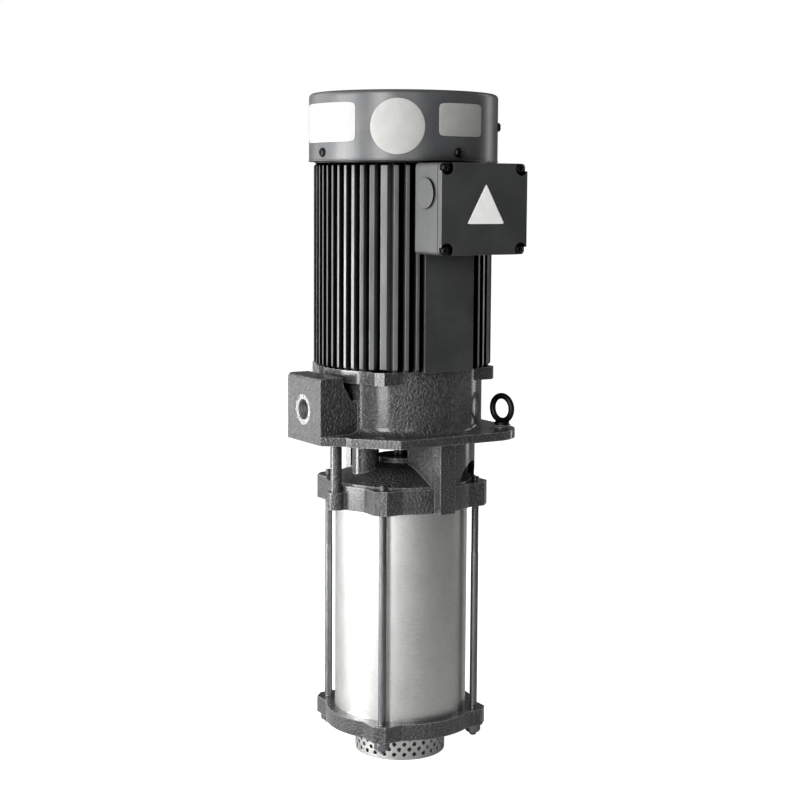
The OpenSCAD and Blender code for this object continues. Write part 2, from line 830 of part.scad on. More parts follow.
module inner_race(bore_r, outer_r, ball_r, width) {
    pitch = pitch_r(bore_r, outer_r);
    color(steel) difference() {
        ring(pitch - land_r(ball_r), bore_r, width);
        race_groove(pitch, ball_r, width);
    }
}

// A set of balls held by its cage
module caged_balls(bore_r, outer_r, ball_r, width) {
    pitch = pitch_r(bore_r, outer_r);
    color(steel) translate([0, 0, width / 2]) {
        translate([0, 0, -ball_r * 0.55]) ring(pitch + ball_r * 0.16, pitch - ball_r * 0.16, ball_r * 1.1);
        around(8) translate([pitch, 0, 0]) sphere(r = ball_r);
    }
}

module lower_bearing_outer() {
    translate([0, 0, lower_bearing_z]) outer_race(lower_bore_r, lower_outer_r, lower_ball_r, lower_width);
}

module lower_bearing_inner() {
    translate([0, 0, lower_bearing_z]) inner_race(lower_bore_r, lower_outer_r, lower_ball_r, lower_width);
}

module lower_bearing_balls() {
    translate([0, 0, lower_bearing_z]) caged_balls(lower_bore_r, lower_outer_r, lower_ball_r, lower_width);
}

module upper_bearing_outer() {
    translate([0, 0, upper_bearing_z]) outer_race(upper_bore_r, upper_outer_r, upper_ball_r, upper_width);
}

module upper_bearing_inner() {
    translate([0, 0, upper_bearing_z]) inner_race(upper_bore_r, upper_outer_r, upper_ball_r, upper_width);
}

module upper_bearing_balls() {
    translate([0, 0, upper_bearing_z]) caged_balls(upper_bore_r, upper_outer_r, upper_ball_r, upper_width);
}

// A sprung ring with a gap, which lies on z = 0
module circlip(r_out, r_in, t, gap) {
    difference() {
        ring(r_out, r_in, t);
        translate([0, -gap / 2, -over]) cube([2 * r_out, gap, t + 2 * over]);
    }
}

module lower_bearing_circlip() {
    color(steel) translate([0, 0, circlip_z])
        circlip(lower_outer_r + groove_depth - bolt_gap, lower_outer_r - 3, circlip_t, 14);
}

module preload_ring() {
    color(steel) translate([0, 0, preload_z]) ring(upper_outer_r - 0.5, upper_outer_r - 4, preload_t);
}

// The end shield closes the frame, holds the upper bearing and carries the fan cover on its rim
module upper_end_shield() {
    plate_r = shield_r - rim_wall;
    base = upper_bearing_z - 2;
    top = shield_z + shield_t;
    color(dark_iron) difference() {
        rotate_extrude() polygon([[0, base], [shield_hub_r, base], [shield_hub_r, shield_z],
            [spigot_in_r, shield_z], [spigot_in_r, shield_z - spigot_h],
            [spigot_r, shield_z - spigot_h], [spigot_r, shield_z], [plate_r, shield_z],
            [plate_r, rim_z], [shield_r, rim_z], [shield_r, rim_z + shield_rim_h],
            [plate_r, rim_z + shield_rim_h], [plate_r, top], [0, top]]);
        translate([0, 0, base - over])
            cylinder(r = upper_outer_r + slip, h = preload_z + preload_t - base + over);
        translate([0, 0, base]) cylinder(r = upper_bore_r + 1.5, h = shield_z);
        at_corners(motor_bolt_pos, motor_bolt_pos) translate([0, 0, shield_z - 2 * spigot_h])
            cylinder(r = motor_bolt_r + bolt_gap, h = 4 * shield_t);
        rotate([0, 0, cover_turn]) around(4) translate([plate_r - 5, 0, cover_screw_z]) pointing_x()
            cylinder(r = screw_r + bolt_gap, h = 2 * rim_wall + 5);
    }
}

module motor_through_bolts() {
    head_h = 3.5;
    head_r = 4.6;
    top = shield_z + shield_t;
    color(steel) at_corners(motor_bolt_pos, motor_bolt_pos) {
        translate([0, 0, motor_bolt_end]) cylinder(r = motor_bolt_r, h = top - motor_bolt_end + over);
        translate([0, 0, top]) rotate([0, 0, 15]) cylinder(r = head_r, h = head_h, $fn = nut_points);
    }
}

module cooling_fan() {
    color(black) translate([0, 0, fan_z]) difference() {
        union() {
            cylinder(r = fan_hub_r, h = fan_hub_h);
            cylinder(r = fan_r * 0.7, h = fan_disc_t);
            around(blade_n) translate([fan_hub_r - over, -1.2, 0])
                cube([fan_r - fan_hub_r, 2.4, blade_h * 0.7]);
            around(blade_n) translate([fan_r * 0.45, -1.2, 0]) cube([fan_r * 0.54, 2.4, blade_h]);
        }
        translate([0, 0, -over]) cylinder(r = fan_seat_r + slip, h = fan_hub_h + 2 * over);
    }
}

module fan_clip() {
    color(steel) translate([0, 0, clip_z]) circlip(fan_seat_r + 3, fan_seat_r - 0.6, clip_t, 8);
}

// Half of the section of a cup that stands open side down on y = 0
module cup_section(r, h, round_r) {
    square([r, h - round_r]);
    square([r - round_r, h]);
    translate([r - round_r, h - round_r]) circle(r = round_r);
}

// The air inlet in the fan cover's top: rings of slots between eight spokes
module inlet_outline() {
    ring_step = 10.5;
    difference() {
        for (k = [1 : 7]) difference() {
            circle(r = k * ring_step + 6.5);
            circle(r = k * ring_step);
        }
        around(8) translate([0, -3]) square([2 * cover_r, 6]);
    }
}

module fan_cover() {
    nut_r = 4.5;
    color(cover_grey) difference() {
        union() {
            translate([0, 0, cover_z]) rotate_extrude() difference() {
                cup_section(cover_r, cover_h, cover_round);
                translate([0, -over]) cup_section(cover_r - cover_sheet, cover_h - cover_sheet + over,
                    cover_round - cover_sheet);
            }
            rotate([0, 0, side_screw_turn]) translate([cover_r - cover_sheet - 3.5, 0, side_screw_z])
                pointing_x() cylinder(r = nut_r, h = 3.5 + cover_sheet / 2);
        }
        translate([0, 0, cover_top - 2 * cover_sheet]) linear_extrude(height = 3 * cover_sheet)
            inlet_outline();
        rotate([0, 0, cover_turn]) around(4) translate([cover_r - 10, 0, cover_screw_z]) pointing_x()
            cylinder(r = screw_r + bolt_gap, h = 20);
        rotate([0, 0, side_screw_turn]) translate([cover_r - 10, 0, side_screw_z]) pointing_x()
            cylinder(r = screw_r + bolt_gap, h = 20);
    }
}

module fan_cover_screws() {
    color(steel) {
        rotate([0, 0, cover_turn]) around(4) translate([cover_r, 0, cover_screw_z]) pointing_x()
            slotted_screw(pan_head_r, pan_head_h, screw_r, 5.5);
        rotate([0, 0, side_screw_turn]) translate([cover_r, 0, side_screw_z]) pointing_x()
            slotted_screw(pan_head_r, pan_head_h, screw_r, 5.5);
    }
}

module box_outline(inset) {
    translate([0, box_mid_z]) rounded_rect(box_w - 2 * inset, box_h - 2 * inset, box_corner_r);
}

module terminal_box() {
    color(frame_grey) difference() {
        union() {
            difference() {
                facing_out(box_back) linear_extrude(height = box_depth) box_outline(0);
                facing_out(box_floor) linear_extrude(height = box_depth) box_outline(box_wall);
            }
            facing_out(box_floor - over) translate([0, box_mid_z, 0]) at_corners(cover_screw_x, cover_screw_y)
                cylinder(r = 4.6, h = box_lip - box_floor + over);
            translate([-neck_half, -box_back - over, box_mid_z - neck_half])
                cube([2 * neck_half, box_back - pad_face + over, 2 * neck_half]);
            for (s = [-1, 1]) translate([s * box_w / 2 - 2, -knockout_depth, knockout_z])
                pointing_x() cylinder(r = knockout_r, h = 4);
            translate([0, -knockout_depth, box_z + over]) cylinder(r = entry_r + 3, h = box_wall + 3);
        }
        translate([-cable_half, -box_floor - over, box_mid_z - cable_half])
            cube([2 * cable_half, box_floor, 2 * cable_half]);
        facing_out(pad_face - over) translate([0, box_mid_z, 0]) at_corners(foot_screw, foot_screw)
            cylinder(r = screw_r + bolt_gap, h = box_floor);
        facing_out(box_lip - 14) translate([0, box_mid_z, 0]) at_corners(cover_screw_x, cover_screw_y)
            cylinder(r = screw_r + bolt_gap, h = 15);
        translate([0, -knockout_depth, box_z - over]) cylinder(r = entry_r, h = 20);
        facing_out(box_back + 1) translate([0, board_z, 0]) cylinder(r = screw_r + bolt_gap, h = 10);
    }
}

module terminal_box_gasket() {
    color(rubber) facing_out(box_lip) linear_extrude(height = box_gasket_t) difference() {
        box_outline(0.5);
        box_outline(box_wall);
        translate([0, box_mid_z]) at_corners(cover_screw_x, cover_screw_y) circle(r = screw_r + bolt_gap);
    }
}

module terminal_box_cover() {
    depth = box_lip + box_gasket_t;
    color(frame_grey) difference() {
        facing_out(depth) linear_extrude(height = box_cover_t) box_outline(0);
        facing_out(depth - over) linear_extrude(height = box_cover_t - 2) box_outline(2 * box_wall + 5);
        facing_out(depth - over) translate([0, box_mid_z, 0]) at_corners(cover_screw_x, cover_screw_y)
            cylinder(r = screw_r + bolt_gap, h = 2 * box_cover_t);
        facing_out(box_front - counterbore_depth) translate([0, box_mid_z, 0])
            at_corners(cover_screw_x, cover_screw_y) cylinder(r = counterbore_r, h = box_cover_t);
    }
}

module terminal_cover_screws() {
    color(steel) facing_out(box_front - counterbore_depth) translate([0, box_mid_z, 0])
        at_corners(cover_screw_x, cover_screw_y) slotted_screw(pan_head_r, pan_head_h, screw_r, 13);
}

// The four screws that hold the box on its pad and the one that holds the terminal board
module terminal_box_screws() {
    color(steel) {
        facing_out(box_floor) translate([0, box_mid_z, 0]) at_corners(foot_screw, foot_screw)
            slotted_screw(pan_head_r, pan_head_h, screw_r, box_floor - pad_face + pad_thread - 1);
        facing_out(box_floor + board_t) translate([0, board_z, 0])
            slotted_screw(board_head_r, pan_head_h, screw_r, board_t + 2.5);
    }
}

// The six studs stand in two rows beside the board's own screw
module at_studs() {
    for (x = [-1, 0, 1], y = [-1, 1]) translate([x * stud_pitch, board_z + y * 6.5, 0]) children();
}

module terminal_board() {
    color(black) difference() {
        translate([-board_w / 2, -box_floor - board_t, board_z - board_h / 2])
            cube([board_w, board_t, board_h]);
        facing_out(box_floor - over) translate([0, board_z, 0])
            cylinder(r = screw_r + bolt_gap, h = 2 * board_t);
        facing_out(box_floor + 2) at_studs() cylinder(r = 1.5 + bolt_gap, h = board_t);
    }
}

module terminal_studs() {
    color(brass) facing_out(box_floor + 2) at_studs() {
        cylinder(r = 1.5, h = board_t + 7);
        translate([0, 0, board_t - 2]) cylinder(r = 3, h = 2.4, $fn = nut_points);
    }
}

// An eyebolt whose collar stands on z = 0
module eyebolt() {
    translate([0, 0, -flange_t]) cylinder(r = eye_shank_r, h = flange_t + over);
    cylinder(r = eye_collar_r, h = eye_collar_h * 0.6);
    translate([0, 0, eye_collar_h * 0.6]) cylinder(r1 = eye_collar_r, r2 = eye_wire_r + 1.2, h = 2);
    translate([0, 0, eye_rise]) rotate([90, 0, 0]) rotate_extrude() translate([eye_ring_r, 0])
        circle(r = eye_wire_r);
}

module eyebolts() {
    color(dark_iron) for (s = [-1, 1]) translate([s * eyebolt_x, -s * eyebolt_y, eye_seat_z])
        rotate([0, 0, eye_turn]) eyebolt();
}

module return_pipe() {
    base = head_z + head_t - 10;
    color(steel) translate([-pipe_x, -pipe_y, base]) ring(pipe_r, pipe_r - pipe_wall, lantern_h + 14);
}

module shaft_coupling() {
    color(steel) difference() {
        translate([0, 0, coupling_z]) cylinder(r = coupling_r, h = coupling_h);
        translate([0, 0, coupling_z - over]) cylinder(r = pump_shaft_r + slip, h = coupling_h + 2 * over);
        translate([0, 0, shaft_joint_z]) cylinder(r = motor_end_r + slip, h = coupling_h);
        for (z = [coupling_z + 7, coupling_top - 7], turn = [0, 90]) rotate([0, 0, turn])
            translate([0, 0, z]) pointing_x() cylinder(r = 2.5 + bolt_gap, h = 2 * coupling_r);
    }
}

module coupling_screws() {
    color(black) for (turn = [0, 90]) rotate([0, 0, turn]) {
        translate([pump_shaft_r + slip, 0, coupling_z + 7]) pointing_x()
            cylinder(r = 2.5, h = coupling_r - pump_shaft_r - 2);
        translate([motor_end_r + slip, 0, coupling_top - 7]) pointing_x()
            cylinder(r = 2.5, h = coupling_r - motor_end_r - 2);
    }
}

module seal_seat() {
    color(steel) translate([0, 0, chamber_top]) ring(seal_r, pump_shaft_r + 1, seal_seat_h);
}

module seal_ring() {
    color(carbon) translate([0, 0, seal_ring_z]) ring(seal_r - 1.5, pump_shaft_r + slip, seal_ring_h);
}

// The folded rubber sleeve that turns with the shaft and presses the seal ring upwards
module seal_bellows() {
    inner = pump_shaft_r + slip;
    outer = seal_r - 1;
    fold = bellows_h / 6;
    color(rubber) translate([0, 0, seal_ring_z - bellows_h]) rotate_extrude()
        polygon(concat([[inner, 0]], [for (k = [0 : 6]) [k % 2 == 0 ? outer : outer - 2.5, k * fold]],
            [[inner, bellows_h]]));
}

module pump_shaft() {
    start = bushing_z - 2;
    end = shaft_joint_z - shaft_gap / 2;
    color(steel) rotate_extrude() polygon([[0, start], [pump_shaft_r - over, start],
        [pump_shaft_r, start + over], [pump_shaft_r, stack_z], [collar_r, stack_z],
        [collar_r, stack_z + impeller_z], [pump_shaft_r, stack_z + impeller_z], [pump_shaft_r, end],
        [0, end]]);
}

module impeller_nut() {
    color(steel) translate([0, 0, last_top + end_spacer_h]) difference() {
        cylinder(r = impeller_nut_r, h = impeller_nut_h, $fn = nut_points);
        translate([0, 0, -over]) cylinder(r = pump_shaft_r + slip, h = impeller_nut_h + 2 * over);
    }
}

module impeller_spacers() {
    color(steel) {
        for (k = [0 : stage_n - 2]) translate([0, 0, stack_z + k * stage_pitch + impeller_top])
            ring(spacer_r, pump_shaft_r + slip, stage_pitch + impeller_z - impeller_top);
        translate([0, 0, last_top]) ring(spacer_r, pump_shaft_r + slip, end_spacer_h);
    }
}

// A vane bent to one arc, which crosses radius r1 and radius r2 at the same slope to the circumference
module arc_vane(r1, r2, slope, h) {
    bend = (r1 + r2) / (2 * cos(slope));
    centre = sqrt(r1 * r1 + bend * bend - 2 * r1 * bend * cos(slope));
    inner = acos((r1 * r1 - centre * centre - bend * bend) / (2 * centre * bend));
    outer = acos((r2 * r2 - centre * centre - bend * bend) / (2 * centre * bend));
    translate([centre, 0, 0]) rotate_extrude(angle = inner - outer, start = outer)
        translate([bend - vane_t / 2, 0]) square([vane_t, h]);
}

// A closed impeller: two shrouds, the eye's neck and the hub, joined by backward-curved vanes
module impeller() {
    hub_bore = pump_shaft_r + slip;
    color(brass) {
        rotate_extrude() {
            polygon([[eye_r, neck_z], [eye_out_r, neck_z], [eye_out_r, front_z], [impeller_r, front_z],
                [impeller_r, vane_z], [eye_r, vane_z]]);
            polygon([[hub_bore, impeller_z], [impeller_hub_r, impeller_z], [impeller_hub_r, back_z],
                [impeller_r, back_z], [impeller_r, impeller_top], [hub_bore, impeller_top]]);
        }
        translate([0, 0, vane_z - 0.5]) around(impeller_vanes)
            arc_vane(eye_r - 3, impeller_r - 1, blade_slope, vane_h + 1);
    }
}

// A stage casing: the shell, the floor that holds the wear ring and the divider with its return vanes
module stage_casing() {
    color(aluminium) {
        rotate_extrude() {
            polygon([[wear_out_r + slip, 0], [stage_out_r, 0], [stage_out_r, stage_pitch],
                [stage_in_r, stage_pitch], [stage_in_r, stage_plate], [wear_out_r + slip, stage_plate]]);
            translate([spacer_r + turn_gap, divider_z])
                square([divider_r - spacer_r - turn_gap, stage_plate]);
        }
        translate([0, 0, guide_z - 0.5]) around(return_vanes) mirror([0, 1, 0])
            arc_vane(wear_out_r + 2, stage_in_r + 1, guide_slope, stage_pitch - guide_z + 0.3);
    }
}

module at_stage(k) {
    translate([0, 0, stack_z + (k - 1) * stage_pitch]) children();
}

module impeller_1() {
    at_stage(1) impeller();
}

module impeller_2() {
    at_stage(2) impeller();
}

module impeller_3() {
    at_stage(3) impeller();
}

module impeller_4() {
    at_stage(4) impeller();
}

module impeller_5() {
    at_stage(5) impeller();
}

module impeller_6() {
    at_stage(6) impeller();
}

module stage_casing_1() {
    at_stage(1) stage_casing();
}

module stage_casing_2() {
    at_stage(2) stage_casing();
}

module stage_casing_3() {
    at_stage(3) stage_casing();
}

module stage_casing_4() {
    at_stage(4) stage_casing();
}

module stage_casing_5() {
    at_stage(5) stage_casing();
}

module stage_casing_6() {
    at_stage(6) stage_casing();
}

module wear_rings() {
    color(brass) for (k = [1 : stage_n]) at_stage(k) ring(wear_out_r, wear_in_r, wear_h);
}

// The ring that passes the head plate's pressure on to the stage casings
module stack_clamp_ring() {
    color(steel) translate([0, 0, stack_top]) ring(stage_out_r, stage_in_r, clamp_h);
}

module outer_tube() {
    color(steel) translate([0, 0, tube_z]) ring(tube_r, tube_in_r, tube_top - tube_z);
}

module tube_gaskets() {
    color(rubber) for (z = [stack_z, tube_top]) translate([0, 0, z]) ring(tube_r, tube_in_r, gasket_t);
}

module tie_rods() {
    color(steel) at_corners(rod_pos, rod_pos) translate([0, 0, rod_end])
        cylinder(r = rod_r, h = head_top + rod_top - rod_end);
}

module tie_rod_washers() {
    color(steel) at_corners(rod_pos, rod_pos) translate([0, 0, suction_z - washer_t])
        ring(washer_r, rod_r + bolt_gap, washer_t);
}

module tie_rod_nuts() {
    color(steel) at_corners(rod_pos, rod_pos) translate([0, 0, suction_z - washer_t - nut_h]) difference() {
        cylinder(r = nut_flats / 2 / cos(30), h = nut_h, $fn = nut_points);
        translate([0, 0, -over]) cylinder(r = rod_r + bolt_gap, h = nut_h + 2 * over);
    }
}

module suction_casting() {
    color(iron) difference() {
        union() {
            difference() {
                translate([0, 0, suction_z]) linear_extrude(height = suction_floor + suction_lip)
                    lobed_outline();
                translate([0, 0, suction_z - over]) cylinder(r = suction_r, h = suction_floor + 2 * over);
            }
            translate([0, 0, bushing_z - 1]) cylinder(r = spider_hub_r, h = bushing_h + 1);
            for (turn = [45, 135]) rotate([0, 0, turn])
                translate([-suction_r - over, -spider_w / 2, suction_z])
                    cube([2 * (suction_r + over), spider_w, bushing_top - suction_z]);
            translate([0, 0, suction_z - basket_lip_h])
                ring(basket_in_r - slip, basket_in_r - 3.5, basket_lip_h + over);
        }
        translate([0, 0, stack_z]) cylinder(r = tube_seat_r, h = suction_lip + over);
        translate([0, 0, bushing_z]) cylinder(r = bushing_out_r + slip, h = bushing_h + 2 * over);
        translate([0, 0, suction_z - 2 * bushing_h]) cylinder(r = pump_shaft_r + 1, h = 2 * bushing_h);
        at_corners(rod_pos, rod_pos) translate([0, 0, suction_z - over])
            cylinder(r = rod_r + bolt_gap, h = suction_floor + suction_lip + 2 * over);
    }
}

module shaft_bushing() {
    color(carbon) translate([0, 0, bushing_z]) ring(bushing_out_r, bushing_in_r, bushing_h);
}

// A perforated basket that is pressed over the lip under the suction casting
module strainer() {
    rows = 4;
    columns = 28;
    row_step = (strainer_h - basket_lip_h - 4) / rows;
    color(steel) translate([0, 0, suction_z - strainer_h]) difference() {
        cylinder(r = strainer_r, h = strainer_h);
        translate([0, 0, strainer_sheet]) cylinder(r = basket_in_r, h = strainer_h);
        for (k = [0 : rows - 1]) translate([0, 0, 3 + (k + 0.5) * row_step]) rotate([0, 0, k * 180 / columns])
            around(columns) translate([strainer_r - 5, 0, 0]) pointing_x()
                cylinder(r = strainer_hole_r, h = 10);
    }
}

bracket();
motor_frame();
stator_core();
stator_windings();
rotor_core();
rotor_end_rings();
motor_shaft();
lower_bearing_outer();
lower_bearing_inner();
lower_bearing_balls();
lower_bearing_circlip();
upper_bearing_outer();
upper_bearing_inner();
upper_bearing_balls();
preload_ring();
upper_end_shield();
motor_through_bolts();
cooling_fan();
fan_clip();
fan_cover();
fan_cover_screws();
terminal_box();
terminal_box_gasket();
terminal_box_cover();
terminal_cover_screws();
terminal_box_screws();
terminal_board();
terminal_studs();
eyebolts();
return_pipe();
shaft_coupling();
coupling_screws();
seal_seat();
seal_ring();
seal_bellows();
pump_shaft();
impeller_nut();
impeller_spacers();
impeller_1();
impeller_2();
impeller_3();
impeller_4();
impeller_5();
impeller_6();
stage_casing_1();
stage_casing_2();
stage_casing_3();
stage_casing_4();
stage_casing_5();
stage_casing_6();
wear_rings();
stack_clamp_ring();
outer_tube();
tube_gaskets();
tie_rods();
tie_rod_washers();
tie_rod_nuts();
suction_casting();
shaft_bushing();
strainer();
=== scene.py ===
# %% [markdown]
# # A vertical coolant pump, dressed for its portrait
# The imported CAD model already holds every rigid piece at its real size. This lesson gives each
# piece the surface that a foundry, a press shop or a lathe would leave on it, and adds the small
# things that CAD leaves plain: screw threads, screw recesses, chamfered nuts and blank plates.
# All lengths are in metres, and the shaft axis is Z.

# %% Load the fixed frame
import json
import math

import bpy
import numpy as np
from mathutils import Matrix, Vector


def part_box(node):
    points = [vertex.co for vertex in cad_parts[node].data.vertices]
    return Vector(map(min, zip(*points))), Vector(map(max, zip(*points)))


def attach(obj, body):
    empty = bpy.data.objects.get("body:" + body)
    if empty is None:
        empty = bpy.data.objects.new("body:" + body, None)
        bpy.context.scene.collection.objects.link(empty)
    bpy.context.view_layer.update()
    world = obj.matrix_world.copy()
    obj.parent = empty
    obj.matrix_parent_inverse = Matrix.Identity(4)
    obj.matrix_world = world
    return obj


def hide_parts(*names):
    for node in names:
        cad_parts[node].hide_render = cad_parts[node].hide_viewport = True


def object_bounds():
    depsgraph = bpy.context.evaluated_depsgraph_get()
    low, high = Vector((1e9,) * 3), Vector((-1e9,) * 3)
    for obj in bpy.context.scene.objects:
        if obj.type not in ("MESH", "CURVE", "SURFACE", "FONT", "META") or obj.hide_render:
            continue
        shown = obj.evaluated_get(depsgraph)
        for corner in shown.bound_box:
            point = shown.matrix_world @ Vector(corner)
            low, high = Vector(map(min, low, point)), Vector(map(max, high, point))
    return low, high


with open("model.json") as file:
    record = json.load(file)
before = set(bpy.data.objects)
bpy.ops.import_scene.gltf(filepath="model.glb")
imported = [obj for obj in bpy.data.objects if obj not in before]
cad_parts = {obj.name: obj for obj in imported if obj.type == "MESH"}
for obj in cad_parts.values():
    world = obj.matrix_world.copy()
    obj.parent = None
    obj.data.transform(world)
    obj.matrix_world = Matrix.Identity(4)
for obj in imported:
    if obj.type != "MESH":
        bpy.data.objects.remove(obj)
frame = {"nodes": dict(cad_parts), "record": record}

cad_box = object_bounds()
nodes = frame["nodes"]
MM = 0.001
print("CAD nodes:", len(nodes), "CAD box:", [[round(v, 4) for v in corner] for corner in cad_box])

# %% [markdown]
# ## Two small helpers for colours and nodes
# Paint charts give colours as sRGB hex values, but Blender's sockets expect linear light, so one
# function converts them. A second one adds a node, sets its inputs and links it, which keeps each
# material recipe short enough to read from top to bottom.

# %% Colour and node helpers
def linear(hex_code):
    """An sRGB hex colour as linear RGBA: value / 12.92 near black, a power of 2.4 above."""
    values = [int(hex_code[i:i + 2], 16) / 255 for i in (1, 3, 5)]
    return (*[v / 12.92 if v <= 0.04045 else ((v + 0.055) / 1.055) ** 2.4 for v in values], 1.0)


def add_node(tree, kind, links=None, **settings):
    """Adds one node; a setting or link is named by property, or by input name or number."""
    node = tree.nodes.new(kind)
    for name, value in settings.items():
        if hasattr(node, name):
            setattr(node, name, value)
        else:
            node.inputs[name.replace("_", " ")].default_value = value
    for name, output in (links or {}).items():
        tree.links.new(output, node.inputs[name])
    return node


def new_material(name, **constants):
    """A material with an empty Principled shader; constants go straight onto its sockets."""
    material = bpy.data.materials.new(name)
    material.use_nodes = True
    shader = material.node_tree.nodes["Principled BSDF"]
    for socket, value in constants.items():
        shader.inputs[socket.replace("_", " ")].default_value = value
    return material, material.node_tree, shader


# %% [markdown]
# ## Patterns in real sizes
# Every texture below is a noise whose grain has a real size in millimetres. Blender's Noise makes
# about one lump per unit of its scaled coordinate, so the scale is one metre divided by the grain.
# Stretching the coordinate along one axis first turns lumps into brush marks.

# %% Helpers for patterns
def object_noise(tree, grain_mm, detail=3.0, roughness=0.55, stretch=(1, 1, 1)):
    """Noise with lumps of grain_mm; a stretch below 1 draws them out along that axis."""
    place = add_node(tree, "ShaderNodeTexCoord")
    mapping = add_node(tree, "ShaderNodeMapping", {"Vector": place.outputs["Object"]}, Scale=stretch)
    noise = add_node(tree, "ShaderNodeTexNoise", {"Vector": mapping.outputs[0]},
                     Scale=1 / (grain_mm * MM), Detail=detail, Roughness=roughness)
    return noise.outputs[0]


def spread(tree, value, low, high, start=0.35, end=0.65):
    """Maps a noise value from start..end onto low..high, held inside those limits."""
    node = add_node(tree, "ShaderNodeMapRange", {"Value": value}, From_Min=start, From_Max=end,
                    To_Min=low, To_Max=high)
    return node.outputs[0]


def blend_colours(tree, factor, first, second):
    """The colour that lies factor of the way from first to second; either may be a hex code or an output."""
    node = add_node(tree, "ShaderNodeMix", data_type="RGBA")
    tree.links.new(factor, node.inputs[0])
    for slot, colour in ((6, first), (7, second)):
        if isinstance(colour, str):
            node.inputs[slot].default_value = linear(colour)
        else:
            tree.links.new(colour, node.inputs[slot])
    return node.outputs[2]


def bump_up(tree, shader, height, depth_mm, below=None):
    """Adds relief of depth_mm from a height pattern, on top of an earlier normal if one is given."""
    bump = add_node(tree, "ShaderNodeBump", {"Height": height}, Distance=depth_mm * MM, Strength=1.0)
    if below is not None:
        tree.links.new(below, bump.inputs["Normal"])
    tree.links.new(bump.outputs[0], shader.inputs["Normal"])
    return bump.outputs[0]


def soft_edges(tree, radius_mm):
    """Rounds edges in the shading alone, as a casting's or a pressing's edges are rounded."""
    return add_node(tree, "ShaderNodeBevel", samples=6, Radius=radius_mm * MM).outputs[0]


def edge_mask(tree, radius_mm):
    """1 along edges, where the dot product of rounded and flat normal falls from 0.98 to 0.8."""
    rounded = soft_edges(tree, radius_mm)
    flat = add_node(tree, "ShaderNodeNewGeometry").outputs["Normal"]
    dot = add_node(tree, "ShaderNodeVectorMath", {0: rounded, 1: flat}, operation="DOT_PRODUCT")
    return spread(tree, dot.outputs["Value"], 1, 0, 0.8, 0.98)


def painted_shade_mask(tree, reach_mm, closed=0.25, clear=0.85):
    """1 where the open share of the space within reach_mm is closed or less, 0 from clear on; it marks where
    shade is painted.
    """
    open_share = add_node(tree, "ShaderNodeAmbientOcclusion", samples=8, Distance=reach_mm * MM)
    return spread(tree, open_share.outputs["AO"], 1, 0, closed, clear)


# %% [markdown]
# ## Sand-cast grey iron under enamel
# The bracket and the suction casting are poured in sand, so their skin is lumpy at two sizes:
# grains of little more than a millimetre, and soft swellings of about twice that. The grey enamel
# on top follows every lump, and its colour is painted darker in the swellings' hollows and lighter
# on their crests, as painted shade and painted light. Deep corners get painted shade, which darkens
# both the paint's colour and its reflections, and edges are painted pale, partly as wear and partly
# as a painted highlight. Machined places stay bright, such as the ring that a pipe fitting seals on,
# which is found here by its distance from the port's axis.

# %% Cast iron enamel
PORT_AXIS_Z = 33 * MM
PORT_FACE_X = -118.5 * MM
PORT_RING_R = 15.6 * MM
PORT_RING_DEPTH = 1.2 * MM
SWELL_MM, SWELL_DEPTH_MM = 2.5, 3.4
GRAIN_MM, GRAIN_DEPTH_MM = 1.3, 0.6
STAIN_MM = 28
CORNER_SHADE_REACH_MM = 42
EDGE_WEAR_AND_HIGHLIGHT_MM = 2.0
CAST_EDGE_MM = 1.8


def port_ring_mask(tree):
    """1 on the machined ring of the port: close to the port's axis and out at the port's face."""
    place = add_node(tree, "ShaderNodeTexCoord")
    split = add_node(tree, "ShaderNodeSeparateXYZ", {"Vector": place.outputs["Object"]})
    level = add_node(tree, "ShaderNodeCombineXYZ", {"Y": split.outputs["Y"], "Z": split.outputs["Z"]})
    radius = add_node(tree, "ShaderNodeVectorMath", {0: level.outputs[0]}, operation="DISTANCE")
    radius.inputs[1].default_value = (0, 0, PORT_AXIS_Z)
    near = add_node(tree, "ShaderNodeMath", {0: radius.outputs["Value"]}, operation="LESS_THAN")
    near.inputs[1].default_value = PORT_RING_R
    outer = add_node(tree, "ShaderNodeMath", {0: split.outputs["X"]}, operation="LESS_THAN")
    outer.inputs[1].default_value = PORT_FACE_X + PORT_RING_DEPTH
    both = add_node(tree, "ShaderNodeMath", {0: near.outputs[0], 1: outer.outputs[0]}, operation="MULTIPLY")
    return both.outputs[0]


